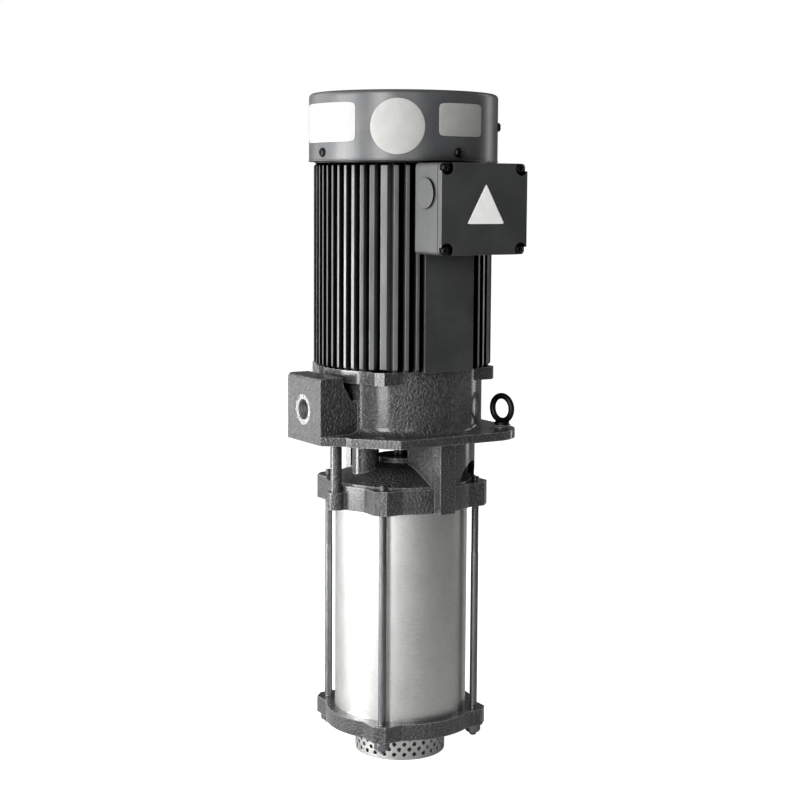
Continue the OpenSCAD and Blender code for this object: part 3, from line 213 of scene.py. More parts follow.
def enamelled_casting():
    """Dark paint with painted light on the crests and painted shade in the hollows, then grain, stain,
    painted shade in corners, edges pale from wear and a painted highlight, and the ring.
    """
    material, tree, shader = new_material("grey_enamel_on_cast_iron", IOR=1.5, Coat_Weight=0.75,
                                          Coat_Roughness=0.15)
    swell = object_noise(tree, SWELL_MM, detail=1.5)
    grain = object_noise(tree, GRAIN_MM, roughness=0.6)
    stain = object_noise(tree, STAIN_MM)
    # Painted shade and light: the swellings' hollows are darker and their crests lighter.
    paint = blend_colours(tree, spread(tree, swell, 0, 1, 0.42, 0.6), "#080909", "#353636")
    paint = blend_colours(tree, spread(tree, grain, 0, 0.35), paint, "#3c3d3d")
    paint = blend_colours(tree, spread(tree, stain, 0, 0.4), paint, "#202020")
    # Painted shade: colour and reflections go dark where little open space is left, as inside the lantern.
    shaded = painted_shade_mask(tree, CORNER_SHADE_REACH_MM, 0.2, 0.62)
    paint = blend_colours(tree, shaded, paint, "#050505")
    tree.links.new(blend_colours(tree, shaded, "#ffffff", "#202020"), shader.inputs["Specular Tint"])
    # Edges are painted pale: partly wear, partly a painted highlight.
    wear_and_highlight = add_node(tree, "ShaderNodeMath", {0: edge_mask(tree, EDGE_WEAR_AND_HIGHLIGHT_MM),
                                             1: spread(tree, grain, 0.2, 1.0)}, operation="MULTIPLY")
    paint = blend_colours(tree, wear_and_highlight.outputs[0], paint, "#a2a2a0")
    machined = port_ring_mask(tree)
    tree.links.new(blend_colours(tree, machined, paint, "#a0a09e"), shader.inputs["Base Color"])
    tree.links.new(machined, shader.inputs["Metallic"])
    tree.links.new(spread(tree, grain, 0.30, 0.52), shader.inputs["Roughness"])
    normal = bump_up(tree, shader, swell, SWELL_DEPTH_MM, soft_edges(tree, CAST_EDGE_MM))
    bump_up(tree, shader, grain, GRAIN_DEPTH_MM, normal)
    return material


print("castings: swellings of", SWELL_MM, "mm and grains of", GRAIN_MM, "mm")

# %% [markdown]
# ## Enamel on aluminium and on sheet steel
# The motor frame and its terminal box are cast in a metal die, so their skin is far smoother than
# the bracket's, and their dark enamel shows only a fine orange peel. The fan cover is pressed from
# sheet and painted a lighter grey. Both are the same recipe with other colours and grain. The
# valleys between the fins get painted shade, in colour and in reflections, and the edges are
# painted pale, partly as wear and partly as a painted highlight.

# %% Smooth enamel
PEEL_DEPTH_MM = 0.07
CLOUD_MM = 40
DUST_MM = 0.8
VALLEY_SHADE_REACH_MM = 18


def smooth_enamel(name, dark, light, peel_mm, rough_low, rough_high, edge_mm):
    """Paint that clouds from dark to light, with specks of dust, edges pale from wear and a painted
    highlight, and painted shade in the valleys.
    """
    material, tree, shader = new_material(name, IOR=1.5, Coat_Weight=0.05, Coat_Roughness=0.28)
    peel = object_noise(tree, peel_mm, detail=2.0)
    cloud = object_noise(tree, CLOUD_MM)
    dust = object_noise(tree, DUST_MM, detail=2.0)
    paint = blend_colours(tree, spread(tree, cloud, 0, 1), dark, light)
    paint = blend_colours(tree, spread(tree, dust, 0, 0.1, 0.5, 0.75), paint, "#8a8a88")
    # Edges are painted pale: partly wear, partly a painted highlight.
    wear_and_highlight = add_node(tree, "ShaderNodeMath", {0: edge_mask(tree, edge_mm),
                                             1: spread(tree, dust, 0.15, 0.6)}, operation="MULTIPLY")
    paint = blend_colours(tree, wear_and_highlight.outputs[0], paint, "#8c8c8a")
    # Painted shade: the valleys between the fins go nearly black, in colour and in reflections.
    valley_shade = painted_shade_mask(tree, VALLEY_SHADE_REACH_MM, 0.5, 0.95)
    tree.links.new(blend_colours(tree, valley_shade, paint, "#020202"), shader.inputs["Base Color"])
    tree.links.new(blend_colours(tree, valley_shade, "#ffffff", "#181818"), shader.inputs["Specular Tint"])
    tree.links.new(spread(tree, cloud, rough_low, rough_high), shader.inputs["Roughness"])
    bump_up(tree, shader, peel, PEEL_DEPTH_MM, soft_edges(tree, edge_mm))
    return material


# The valleys' darkening is painted shade.
print("smooth enamel: painted shade in corners within", VALLEY_SHADE_REACH_MM, "mm")

# %% [markdown]
# ## Bare metals
# Rolled stainless steel, zinc plate, ground shafts, bronze and cast aluminium differ in colour, in
# roughness and in the direction of their marks. A metal keeps Blender's default IOR, since its
# base colour already is its reflectance. Marks are noise that is drawn out along the direction in
# which the tool or the roller moved. Parts deep inside the lantern get painted shade, a near-black
# colour drawn where little open space is left around them.

# %% Metals
METAL_STAIN_MM = 35
METAL_EDGE_MM = 0.4
LANTERN_SHADE_REACH_MM = 60


def metal(name, dark, light, rough_low, rough_high, grain_mm, stretch, depth_mm, oiled=False):
    """Colour runs from dark to light with stains and tool marks, and painted shade darkens enclosed places.
    """
    material, tree, shader = new_material(name, Metallic=1.0)
    marks = object_noise(tree, grain_mm, stretch=stretch)
    stain = object_noise(tree, METAL_STAIN_MM)
    colour = blend_colours(tree, spread(tree, stain, 0, 0.4), dark, light)
    colour = blend_colours(tree, spread(tree, marks, 0, 0.6), colour, light)
    # Painted shade: enclosed places inside the lantern go nearly black.
    if oiled:
        colour = blend_colours(tree, painted_shade_mask(tree, LANTERN_SHADE_REACH_MM), colour, "#0c0c0c")
    tree.links.new(colour, shader.inputs["Base Color"])
    tree.links.new(spread(tree, marks, rough_low, rough_high), shader.inputs["Roughness"])
    bump_up(tree, shader, marks, depth_mm, soft_edges(tree, METAL_EDGE_MM))
    return material


# The darkening of enclosed places is painted shade.
print("metals: painted shade in places closed in within", LANTERN_SHADE_REACH_MM, "mm")

# %% [markdown]
# ## Rubber, plastics and carbon
# What isn't metal here is moulded: nitrile rubber, glass-filled nylon, carbon, and the blank
# plates. They are dielectrics with an IOR near 1.5, and they differ mostly in roughness.

# %% Moulded materials
def moulded(name, dark, light, rough_low, rough_high, grain_mm, depth_mm, ior=1.5, edge_mm=0.5):
    """Colour, roughness and relief that all follow one grain."""
    material, tree, shader = new_material(name, IOR=ior)
    grain = object_noise(tree, grain_mm)
    colour = blend_colours(tree, spread(tree, grain, 0, 1), dark, light)
    tree.links.new(colour, shader.inputs["Base Color"])
    tree.links.new(spread(tree, grain, rough_low, rough_high), shader.inputs["Roughness"])
    bump_up(tree, shader, grain, depth_mm, soft_edges(tree, edge_mm))
    return material


# %% [markdown]
# ## One finish for each material slot of the record
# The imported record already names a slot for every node, so the finishes are made once, under the
# same names, and handed out by slot. Marks on turned parts run round the axis and marks on rolled
# sheet run across, so their noise is drawn out in X and Y. On drawn wire and rod it follows Z.

# %% Make and assign the finishes
TURNED = (0.05, 0.05, 1)
ROLLED = (0.1, 0.1, 1)
DRAWN = (1, 1, 0.1)
EVEN = (1, 1, 1)
finishes = {
    "cast_iron_grey": enamelled_casting(),
    "frame_paint": smooth_enamel("dark_enamel_on_aluminium", "#2d2e2f", "#363738", 1.6, 0.28, 0.38, 0.8),
    "cover_paint": smooth_enamel("grey_enamel_on_sheet_steel", "#3e3f41", "#484949", 2.2, 0.28, 0.36, 0.8),
    "laminations": metal("electrical_sheet", "#5c5e62", "#7a7c80", 0.35, 0.5, 0.5, TURNED, 0.05),
    "copper_wire": metal("varnished_copper", "#8a4520", "#b5693a", 0.25, 0.4, 1.0, DRAWN, 0.3),
    "cast_aluminium": metal("die_cast_aluminium", "#a4a6a8", "#bcbdbf", 0.38, 0.55, 1.2, EVEN, 0.08),
    "ground_steel": metal("ground_shaft_steel", "#a8aaac", "#c2c3c4", 0.18, 0.3, 0.4, TURNED, 0.01,
                          oiled=True),
    "spring_steel": metal("oiled_spring_steel", "#3c3d40", "#56575a", 0.3, 0.42, 0.8, EVEN, 0.02),
    "zinc_steel": metal("zinc_plated_steel", "#5f6163", "#7c7e80", 0.28, 0.45, 0.9, DRAWN, 0.03),
    "black_plastic": moulded("glass_filled_nylon", "#0d0d0e", "#171718", 0.45, 0.6, 0.7, 0.04),
    "rubber_black": moulded("nitrile_rubber", "#0b0b0b", "#161616", 0.6, 0.75, 0.6, 0.04, ior=1.52),
    "brass": metal("turned_brass", "#b08a3e", "#c9a556", 0.22, 0.35, 0.4, TURNED, 0.01),
    "bronze": metal("cast_tin_bronze", "#8c6a3a", "#a9854c", 0.32, 0.48, 1.2, EVEN, 0.06),
    "black_steel": metal("blackened_forged_steel", "#1d1e20", "#303133", 0.34, 0.5, 1.4, EVEN, 0.08),
    "stainless": metal("rolled_stainless_sheet", "#b0b0ae", "#cbcbc9", 0.34, 0.46, 0.7, ROLLED, 0.012),
    "carbon": moulded("resin_bonded_carbon", "#141416", "#202024", 0.3, 0.4, 0.5, 0.01, ior=1.6),
    "bearing_steel": metal("polished_bearing_steel", "#c8c9ca", "#dcdddd", 0.1, 0.18, 0.5, TURNED, 0.005),
}
for entry in frame["record"]["subparts"]:
    slots = nodes[entry["node"]].data.materials
    slots.clear()
    slots.append(finishes[entry["material_slot"]])

# %% [markdown]
# ## Surfaces from grids
# Each new piece is a closed skin of revolution or something close to it: rows of points that run
# round a centre, closed by a pole at each end. One function turns such an array of rows into a
# mesh. Rows are wound so that the faces look outwards when the first pole lies above the last.

# %% The mesh builder
def closed_skin(name, rows, top, bottom):
    """A mesh from rows[i, j] of points, closed round j, with a pole above the first and below the last."""
    rows = np.asarray(rows, float)
    count, around = rows.shape[:2]
    points = np.vstack([rows.reshape(-1, 3), [top], [bottom]])
    i, j = np.meshgrid(np.arange(count - 1), np.arange(around), indexing="ij")
    k = (j + 1) % around
    quads = np.stack([i * around + j, (i + 1) * around + j, (i + 1) * around + k, i * around + k], -1)
    quads = quads.reshape(-1, 4)
    j = np.arange(around)
    k = (j + 1) % around
    last = (count - 1) * around
    caps = np.vstack([np.stack([np.full(around, len(points) - 2), j, k], 1),
                      np.stack([np.full(around, len(points) - 1), last + k, last + j], 1)])
    corners = np.concatenate([quads.ravel(), caps.ravel()])
    starts = np.concatenate([np.arange(len(quads)) * 4, len(quads) * 4 + np.arange(len(caps)) * 3])
    mesh = bpy.data.meshes.new(name)
    mesh.vertices.add(len(points))
    mesh.vertices.foreach_set("co", points.ravel())
    mesh.loops.add(len(corners))
    mesh.loops.foreach_set("vertex_index", corners.astype(np.int32))
    mesh.polygons.add(len(starts))
    mesh.polygons.foreach_set("loop_start", starts.astype(np.int32))
    mesh.update(calc_edges=True)
    mesh.validate()
    return mesh


def join_skins(name, skins, finish, sharp_degrees=35):
    """One object from several skins, with its faces smooth up to an edge angle."""
    target = bpy.data.objects.new(name, skins[0])
    bpy.context.scene.collection.objects.link(target)
    others = []
    for skin in skins[1:]:
        other = bpy.data.objects.new(skin.name, skin)
        bpy.context.scene.collection.objects.link(other)
        others.append(other)
    if others:
        with bpy.context.temp_override(active_object=target, object=target,
                                       selected_objects=[target, *others],
                                       selected_editable_objects=[target, *others]):
            bpy.ops.object.join()
    target.data.materials.clear()
    target.data.materials.append(finish)
    target.data.shade_smooth()
    target.data.set_sharp_from_angle(angle=math.radians(sharp_degrees))
    print(f"{name}: {len(target.data.polygons)} faces")
    return target


# %% [markdown]
# ## Placing a flat drawing
# Screw heads and plates are easiest to draw flat, with their height as the last number. Three
# directions and an origin then carry the drawing to its place on the pump.

# %% Placing
def placed(rows, origin, across, up, out):
    """Points given as (across, up, out) coordinates, moved to an origin with those three directions."""
    axes = np.array([across, up, out], float)
    return np.asarray(rows) @ axes + np.asarray(origin, float)


TOWARDS_FRONT = (1, 0, 0), (0, 0, 1), (0, -1, 0)
print("one millimetre out towards the front:", placed([0, 0, MM], (0, 0, 0), *TOWARDS_FRONT))

# %% [markdown]
# ## Threaded tie rods
# Four M8 rods clamp the stage tube between the two castings. Only their ends are threaded, and the
# long upper thread shows in front of the bright tube. A thread is a cylinder whose radius follows
# a zigzag along its length, and the zigzag moves up by one pitch in each turn, which makes the
# helix. The grid has six rows to a pitch, enough for both flanks.

# %% Tie rods
ROD_R = 4.0 * MM
ROD_PITCH = 1.25 * MM
ROD_THREAD = 0.55 * MM
ROD_PLACE = 80 / math.sqrt(2) * MM
ROD_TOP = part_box("tie_rods")[1].z
ROD_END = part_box("tie_rods")[0].z
UPPER_THREAD_END = -125 * MM
LOWER_THREAD_TOP = ROD_END + 32 * MM


def rod_skin(name, x, y):
    """Radius = rod radius less a zigzag of (height / pitch - angle / turn), faded out between the threads."""
    fine = ROD_PITCH / 6
    heights = np.concatenate([np.arange(ROD_TOP, UPPER_THREAD_END - 2 * MM, -fine),
                              np.linspace(UPPER_THREAD_END - 3 * MM, LOWER_THREAD_TOP + 3 * MM, 8),
                              np.arange(LOWER_THREAD_TOP + 2 * MM, ROD_END, -fine), [ROD_END]])
    angles = np.linspace(0, 2 * np.pi, 24, endpoint=False)
    z, angle = np.meshgrid(heights, angles, indexing="ij")
    zigzag = np.abs((z / ROD_PITCH - angle / (2 * np.pi)) % 1.0 * 2 - 1)
    upper = np.clip((z - UPPER_THREAD_END) / (2 * MM), 0, 1)
    lower = np.clip((LOWER_THREAD_TOP - z) / (2 * MM), 0, 1)
    ends = np.clip(np.minimum(ROD_TOP - z, z - ROD_END) / (0.8 * MM), 0, 1)
    radius = (ROD_R - ROD_THREAD * zigzag * np.maximum(upper, lower)) * (0.82 + 0.18 * ends)
    rows = np.stack([x + radius * np.cos(angle), y + radius * np.sin(angle), z], -1)
    return closed_skin(name, rows, (x, y, ROD_TOP), (x, y, ROD_END))


rod_places = [(sx * ROD_PLACE, sy * ROD_PLACE) for sx in (-1, 1) for sy in (-1, 1)]
rods = join_skins("threaded_tie_rods", [rod_skin("rod", x, y) for x, y in rod_places],
                  finishes["zinc_steel"], 60)
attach(rods, "housing")
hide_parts("tie_rods")

# %% [markdown]
# ## Chamfered hexagon nuts
# A nut is a hexagon that has been turned with a chamfer: near its two faces a cone cuts the six
# corners. In polar form the hexagon's radius is the flat's distance over the cosine of the angle
# from the nearest flat, and the chamfer is a cap on that radius which shrinks towards the faces.

# %% Nuts
NUT_HALF_FLATS = 7 * MM
NUT_BORE_R = 4.2 * MM


def hexagon_radius(angle, flat):
    """Distance to a hexagon's side: half the flats' width over the cosine of the angle from its middle."""
    return flat / np.cos((angle + np.pi / 6) % (np.pi / 3) - np.pi / 6)


def nut_skin(name, x, y, low, high, flat, bore):
    """Rows from the bore's top edge over the chamfered outside to the bore's bottom edge."""
    angles = np.linspace(0, 2 * np.pi, 48, endpoint=False)
    span = high - low
    drop = np.array([0, 0, 0.02, 0.06, 0.12, 0.2, 0.5, 0.8, 0.88, 0.94, 0.98, 1, 1])
    reach = np.array([0, 0.93, 0.97, 1.03, 1.09, 1.16, 1.16, 1.16, 1.09, 1.03, 0.97, 0.93, 0])
    outline = hexagon_radius(angles, flat)
    radius = np.minimum(outline[None, :], (reach * flat)[:, None])
    radius = np.maximum(radius, bore)
    z = high - drop * span
    rows = np.stack([x + radius * np.cos(angles), y + radius * np.sin(angles),
                     np.repeat(z[:, None], len(angles), 1)], -1)
    return closed_skin(name, rows, (x, y, high), (x, y, low))


nut_low, nut_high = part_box("tie_rod_nuts")
nuts = join_skins("chamfered_nuts", [nut_skin("nut", x, y, nut_low.z, nut_high.z, NUT_HALF_FLATS, NUT_BORE_R)
                                     for x, y in rod_places], finishes["zinc_steel"], 30)
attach(nuts, "housing")
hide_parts("tie_rod_nuts")

# %% [markdown]
# ## Pan-head screws with a cross recess
# The fan cover and the terminal box are held by black pan-head screws. The head is a low dome with
# a rounded rim. The cross recess is a pit whose depth depends on how far a point is from two
# crossed slots, so the same polar grid makes dome and recess together.

# %% The screw's shape
PAN_HEAD_R = 4.6 * MM
PAN_HEAD_H = 3.0 * MM
SHANK_R = 2.4 * MM


def screw_skin(name, origin, across, up, out, head_r, head_h, shank_r, shank_length):
    """Dome height = head_h times the root of (1 - (r / R)^3.2), less a cross-shaped pit."""
    angles = np.linspace(0, 2 * np.pi, 48, endpoint=False)
    radii = np.concatenate([np.linspace(0.04, 0.7, 12), np.linspace(0.76, 1.0, 9)])
    r, angle = np.meshgrid(radii, angles, indexing="ij")
    dome = head_h * np.clip(1 - r ** 3.2, 0, 1) ** 0.5
    a, b = np.abs(r * np.cos(angle)), np.abs(r * np.sin(angle))
    arm, length = 0.12, 0.56
    inside_a = np.clip((arm - b) / 0.07 + 0.5, 0, 1) * np.clip((length - a) / 0.12 + 0.5, 0, 1)
    inside_b = np.clip((arm - a) / 0.07 + 0.5, 0, 1) * np.clip((length - b) / 0.12 + 0.5, 0, 1)
    pit = 0.55 * head_h * np.maximum(inside_a, inside_b)
    head = np.stack([r * head_r * np.cos(angle), r * head_r * np.sin(angle), dome - pit], -1)
    below = [(head_r, 0.0), (shank_r, 0.0), (shank_r, -shank_length)]
    under = np.stack([np.stack([s * np.cos(angles), s * np.sin(angles), np.full(len(angles), h)], -1)
                      for s, h in below])
    rows = placed(np.concatenate([head, under]), origin, across, up, out)
    top = placed([[0, 0, 0.45 * head_h]], origin, across, up, out)[0]
    bottom = placed([[0, 0, -shank_length]], origin, across, up, out)[0]
    return closed_skin(name, rows, top, bottom)


print("screw heads:", 2 * PAN_HEAD_R, "m across and", PAN_HEAD_H, "m high")

# %% [markdown]
# ## Where the screws go
# The fan cover's four lower screws stand a quarter turn apart, and a fifth one sits higher on its
# side. Their heights come from the box of the CAD screws. The lid's four screws stand near its
# corners and point to the front.

# %% Cross-recess screws
COVER_R = 98 * MM
COVER_SHANK = 5.5 * MM
LID_SHANK = 13 * MM
screw_low, screw_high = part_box("fan_cover_screws")
LOW_SCREW_Z = screw_low.z + PAN_HEAD_R
SIDE_SCREW_Z = screw_high.z - PAN_HEAD_R
COVER_TURN = 2.4
SIDE_SCREW_TURN = -35


def radial_screw(turn_degrees, z):
    """A screw on the cover's wall: its axis is (cos, sin, 0) of the turn."""
    turn = math.radians(turn_degrees)
    out = (math.cos(turn), math.sin(turn), 0)
    across = (-math.sin(turn), math.cos(turn), 0)
    return screw_skin("screw", (COVER_R * out[0], COVER_R * out[1], z), across, (0, 0, 1), out,
                      PAN_HEAD_R, PAN_HEAD_H, SHANK_R, COVER_SHANK)


cover_screws = join_skins("fan_cover_cross_screws",
                          [radial_screw(COVER_TURN + 90 * k, LOW_SCREW_Z) for k in range(4)]
                          + [radial_screw(SIDE_SCREW_TURN, SIDE_SCREW_Z)], finishes["black_steel"], 50)
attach(cover_screws, "housing")
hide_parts("fan_cover_screws")

box_low, box_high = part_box("terminal_cover_screws")
head_plane = box_low.y + PAN_HEAD_H
lid_middle = (box_low.z + box_high.z) / 2
lid_reach = (box_high.z - box_low.z) / 2 - PAN_HEAD_R
lid_places = [(sx * (box_high.x - PAN_HEAD_R), head_plane, lid_middle + sz * lid_reach)
              for sx in (-1, 1) for sz in (-1, 1)]
lid_screws = join_skins("terminal_cover_cross_screws",
                        [screw_skin("screw", place, *TOWARDS_FRONT, PAN_HEAD_R, PAN_HEAD_H, SHANK_R,
                                    LID_SHANK)
                         for place in lid_places], finishes["black_steel"], 50)
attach(lid_screws, "housing")
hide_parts("terminal_cover_screws")

# %% [markdown]
# ## Blank plates
# Three blank plates of pale matt foil are glued to the fan cover, and a triangular one of white
# vinyl to the lid of the terminal box. They are a hair thicker than paint and have rounded
# corners. The outlines on the cover are super-ellipses, curves that run from a circle to a
# rectangle as their exponent grows.

# %% Foil, vinyl and the outlines
PLATE_THICK = 0.3 * MM
vinyl = moulded("white_vinyl", "#e6e6e3", "#ececea", 0.4, 0.5, 12.0, 0.01, ior=1.46, edge_mm=0.2)
foil = moulded("pale_foil", "#929290", "#999997", 0.66, 0.74, 12.0, 0.01, ior=1.46, edge_mm=0.2)


def superellipse(angle, half_width, half_height, power):
    """Radius at an angle so that |x / a|^n + |y / b|^n = 1: n = 2 is an ellipse, a large n a rectangle."""
    wide, tall = np.abs(np.cos(angle) / half_width), np.abs(np.sin(angle) / half_height)
    return (wide ** power + tall ** power) ** (-1 / power)


def rounded_triangle(angle, width, height, corner):
    """Radius to the nearest of three sides, softened by a power mean so that the corners are round."""
    low = height / 3
    slope = math.atan2(height, width / 2)
    side = (height - low) * math.cos(slope)
    faces = [(-np.pi / 2, low), (np.pi / 2 - slope, side), (np.pi / 2 + slope, side)]
    reach = [np.maximum(np.cos(angle - a), 1e-6) / d for a, d in faces]
    return sum(r ** corner for r in reach) ** (-1 / corner)


print("plates:", PLATE_THICK, "m thick")

# %% [markdown]
# ## Plates on the cover and the lid
# A plate is a polar grid inside its outline. On the cover it is wrapped round by turning the
# distance along it into an angle. The lid is flat, so the triangle is only carried to its place.

# %% Plates
def plate_rows(outline):
    """Rows of (x, y, height) from the plate's middle to its rim, down its edge, and back underneath."""
    angles = np.linspace(0, 2 * np.pi, 96, endpoint=False)
    edge = outline(angles)
    share = np.array([0.15, 0.3, 0.45, 0.6, 0.75, 0.88, 0.97, 1.0, 1.0, 0.8, 0.5, 0.2])
    level = np.array([1, 1, 1, 1, 1, 1, 1, 0.75, 0.0, 0, 0, 0]) * PLATE_THICK
    radius = share[:, None] * edge[None, :]
    return np.stack([radius * np.cos(angles), radius * np.sin(angles),
                     np.repeat(level[:, None], len(angles), 1)], -1)


def wrapped_plate(name, outline, turn_degrees, z):
    """Bends flat rows round the cover: angle = turn + x / R, radius = R + height."""
    rows = plate_rows(outline)
    rows = np.concatenate([rows, [[[0, 0, PLATE_THICK]] * rows.shape[1], [[0, 0, 0]] * rows.shape[1]]])
    angle = math.radians(turn_degrees) + rows[..., 0] / COVER_R
    radius = COVER_R + rows[..., 2]
    bent = np.stack([radius * np.cos(angle), radius * np.sin(angle), z + rows[..., 1]], -1)
    return closed_skin(name, bent[:-2], bent[-2, 0], bent[-1, 0])


plates = join_skins("fan_cover_plates", [
    wrapped_plate("left", lambda t: superellipse(t, 45 * MM, 19.6 * MM, 12), -177, 322.6 * MM),
    wrapped_plate("middle", lambda t: superellipse(t, 27.4 * MM, 27.4 * MM, 2), -125.2, 318 * MM),
    wrapped_plate("right", lambda t: superellipse(t, 27 * MM, 16.2 * MM, 10), -85, 325 * MM)], foil)
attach(plates, "housing")

lid_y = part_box("terminal_box_cover")[0].y
tri_width, tri_height, tri_corner = 43 * MM, 38.5 * MM, 26
tri_rows = plate_rows(lambda t: rounded_triangle(t, tri_width, tri_height, tri_corner))
tri_centre = (1.2 * MM, lid_y, 223.5 * MM + tri_height / 3)
tri_top = placed([[0, 0, PLATE_THICK]], tri_centre, *TOWARDS_FRONT)[0]
tri_skin = closed_skin("triangle", placed(tri_rows, tri_centre, *TOWARDS_FRONT), tri_top, tri_centre)
triangle = join_skins("terminal_cover_plate", [tri_skin], vinyl)
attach(triangle, "housing")

# %% [markdown]
# ## The port's pipe thread
# The discharge port is tapped for a pipe fitting. CAD keeps the bore plain, so the thread is added
# as a sleeve inside it: the same zigzag as on the rods, but on a wall that faces the axis. The
# sleeve's back lies on the bore, and its rows close into a ring from front to back.

# %% Port thread
THREAD_START = 0.6 * MM
THREAD_DEPTH = 16.5 * MM
PORT_BORE_R = 10.5 * MM
THREAD_PITCH = 1.81 * MM
THREAD_HEIGHT = 0.7 * MM
machined_iron = metal("machined_iron", "#6c6c6a", "#7c7c7a", 0.62, 0.74, 1.0, EVEN, 0.02)


def thread_sleeve(name, front_x, depth, radius, pitch, height):
    """Inner radius = bore radius less a zigzag of (depth / pitch - angle / turn); its back is the bore."""
    steps = np.arange(0, depth, pitch / 6)
    angles = np.linspace(0, 2 * np.pi, 96, endpoint=False)
    along, angle = np.meshgrid(steps, angles, indexing="ij")
    zigzag = np.abs((along / pitch - angle / (2 * np.pi)) % 1.0 * 2 - 1)
    fade = np.clip(along / (2 * MM), 0.15, 1)
    inner = radius - 0.02 * MM - height * zigzag * fade
    rows = np.stack([front_x + along, inner * np.cos(angle), PORT_AXIS_Z + inner * np.sin(angle)], -1)
    outer = np.stack([np.full(len(angles), front_x + steps[-1]), radius * np.cos(angles),
                      PORT_AXIS_Z + radius * np.sin(angles)], -1)
    front = outer.copy()
    front[:, 0] = front_x
    ring = np.concatenate([rows, [outer], [front], rows[:1]])
    count, around = ring.shape[:2]
    i, j = np.meshgrid(np.arange(count - 1), np.arange(around), indexing="ij")
    k = (j + 1) % around
    low, high = i % (count - 1), (i + 1) % (count - 1)
    quads = np.stack([low * around + j, low * around + k, high * around + k, high * around + j], -1)
    mesh = bpy.data.meshes.new(name)
    mesh.from_pydata(ring[:-1].reshape(-1, 3).tolist(), [], quads.reshape(-1, 4).tolist())
    mesh.update()
    return mesh


port_sleeve = thread_sleeve("port", PORT_FACE_X + THREAD_START, THREAD_DEPTH, PORT_BORE_R, THREAD_PITCH,
                            THREAD_HEIGHT)
port_thread = join_skins("port_thread", [port_sleeve], machined_iron, 50)
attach(port_thread, "housing")

# %% [markdown]
# ## The fan cover's rolled hem
# The lower edge of a pressed cover is rolled outwards by less than a millimetre, so that it isn't
# sharp. It catches a thin line of light all the way round. It is a torus: a small circle carried
# round the shaft axis.

# %% Hem
HEM_WIRE_R = 0.8 * MM
HEM_INSET = 0.2 * MM


def torus(name, centre_r, wire_r, z, around=160, section=12):
    """Radius = R + r cos(s), height = z + r sin(s), for s round the wire and t round the axis."""
    t, s = np.meshgrid(np.linspace(0, 2 * np.pi, around, endpoint=False),
                       np.linspace(0, 2 * np.pi, section, endpoint=False), indexing="ij")
    radius = centre_r + wire_r * np.cos(s)
    points = np.stack([radius * np.cos(t), radius * np.sin(t), z + wire_r * np.sin(s)], -1)
    i, j = np.meshgrid(np.arange(around), np.arange(section), indexing="ij")
    a, b = (i + 1) % around, (j + 1) % section
    quads = np.stack([i * section + j, a * section + j, a * section + b, i * section + b], -1)
    mesh = bpy.data.meshes.new(name)
    mesh.from_pydata(points.reshape(-1, 3).tolist(), [], quads.reshape(-1, 4).tolist())
    mesh.update()
    return mesh


hem_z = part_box("fan_cover")[0].z + HEM_WIRE_R
hem = join_skins("fan_cover_hem", [torus("hem", COVER_R - HEM_INSET, HEM_WIRE_R, hem_z)],
                 finishes["cover_paint"])
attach(hem, "housing")

# %% [markdown]
# ## Floor
# The pump stands on a wide pale floor. The paper glows for the camera alone, so it looks as white
# as the sky behind it and the horizon disappears, while it lights the pump only by what it
# reflects.

# %% Floor
FLOOR_Z = cad_box[0][2]
SECTORS = 64
PAPER_GRAIN_MM = 400
PAPER_GLOW = 0.98


def floor_disc():
    """Rows of a flat disc that grow outwards, so that the floor has no visible end."""
    angles = np.linspace(0, 2 * np.pi, SECTORS, endpoint=False)
    radii = np.array([0.5, 1, 2, 4, 8, 16, 30])
    mesh = bpy.data.meshes.new("floor")
    points = np.concatenate([[[0, 0, FLOOR_Z]], np.stack(
        [np.outer(radii, np.cos(angles)), np.outer(radii, np.sin(angles)),
         np.full((len(radii), len(angles)), FLOOR_Z)], -1).reshape(-1, 3)])
    j = np.arange(SECTORS)
    k = (j + 1) % SECTORS
    faces = [list(f) for f in np.stack([np.zeros(SECTORS, int), 1 + j, 1 + k], 1)]
    for i in range(len(radii) - 1):
        inner, outer = 1 + i * SECTORS, 1 + (i + 1) * SECTORS
        faces += np.stack([inner + j, outer + j, outer + k, inner + k], 1).tolist()
    mesh.from_pydata(points.tolist(), [], faces)
    mesh.update()
    return bpy.data.objects.new("floor", mesh)


floor = floor_disc()
bpy.context.scene.collection.objects.link(floor)
paper, paper_tree, paper_shader = new_material("matte_paper", IOR=1.4, Roughness=0.9,
                                               Emission_Color=(1, 1, 1, 1))
paper_cloud = object_noise(paper_tree, PAPER_GRAIN_MM)
paper_tree.links.new(blend_colours(paper_tree, paper_cloud, "#cacaca", "#d2d2d2"),
                     paper_shader.inputs["Base Color"])
paper_seen = add_node(paper_tree, "ShaderNodeLightPath").outputs["Is Camera Ray"]
paper_glow = add_node(paper_tree, "ShaderNodeMath", {0: paper_seen}, operation="MULTIPLY")
paper_glow.inputs[1].default_value = PAPER_GLOW
paper_tree.links.new(paper_glow.outputs[0], paper_shader.inputs["Emission Strength"])
floor.data.materials.append(paper)
print("floor at", round(FLOOR_Z, 4), "m")

# %% [markdown]
# ## Sky and lamps
# The sky is white for the camera and much dimmer for the pump, so that the lamps shape it. All
# six lamps face the pump's middle. Two boxes and a rear wall stand on the left and light the port
# side. A tall strip stands a little left of the camera and a weaker fill a little right of it,
# and a thin, faint strip stands behind the pump on the right.

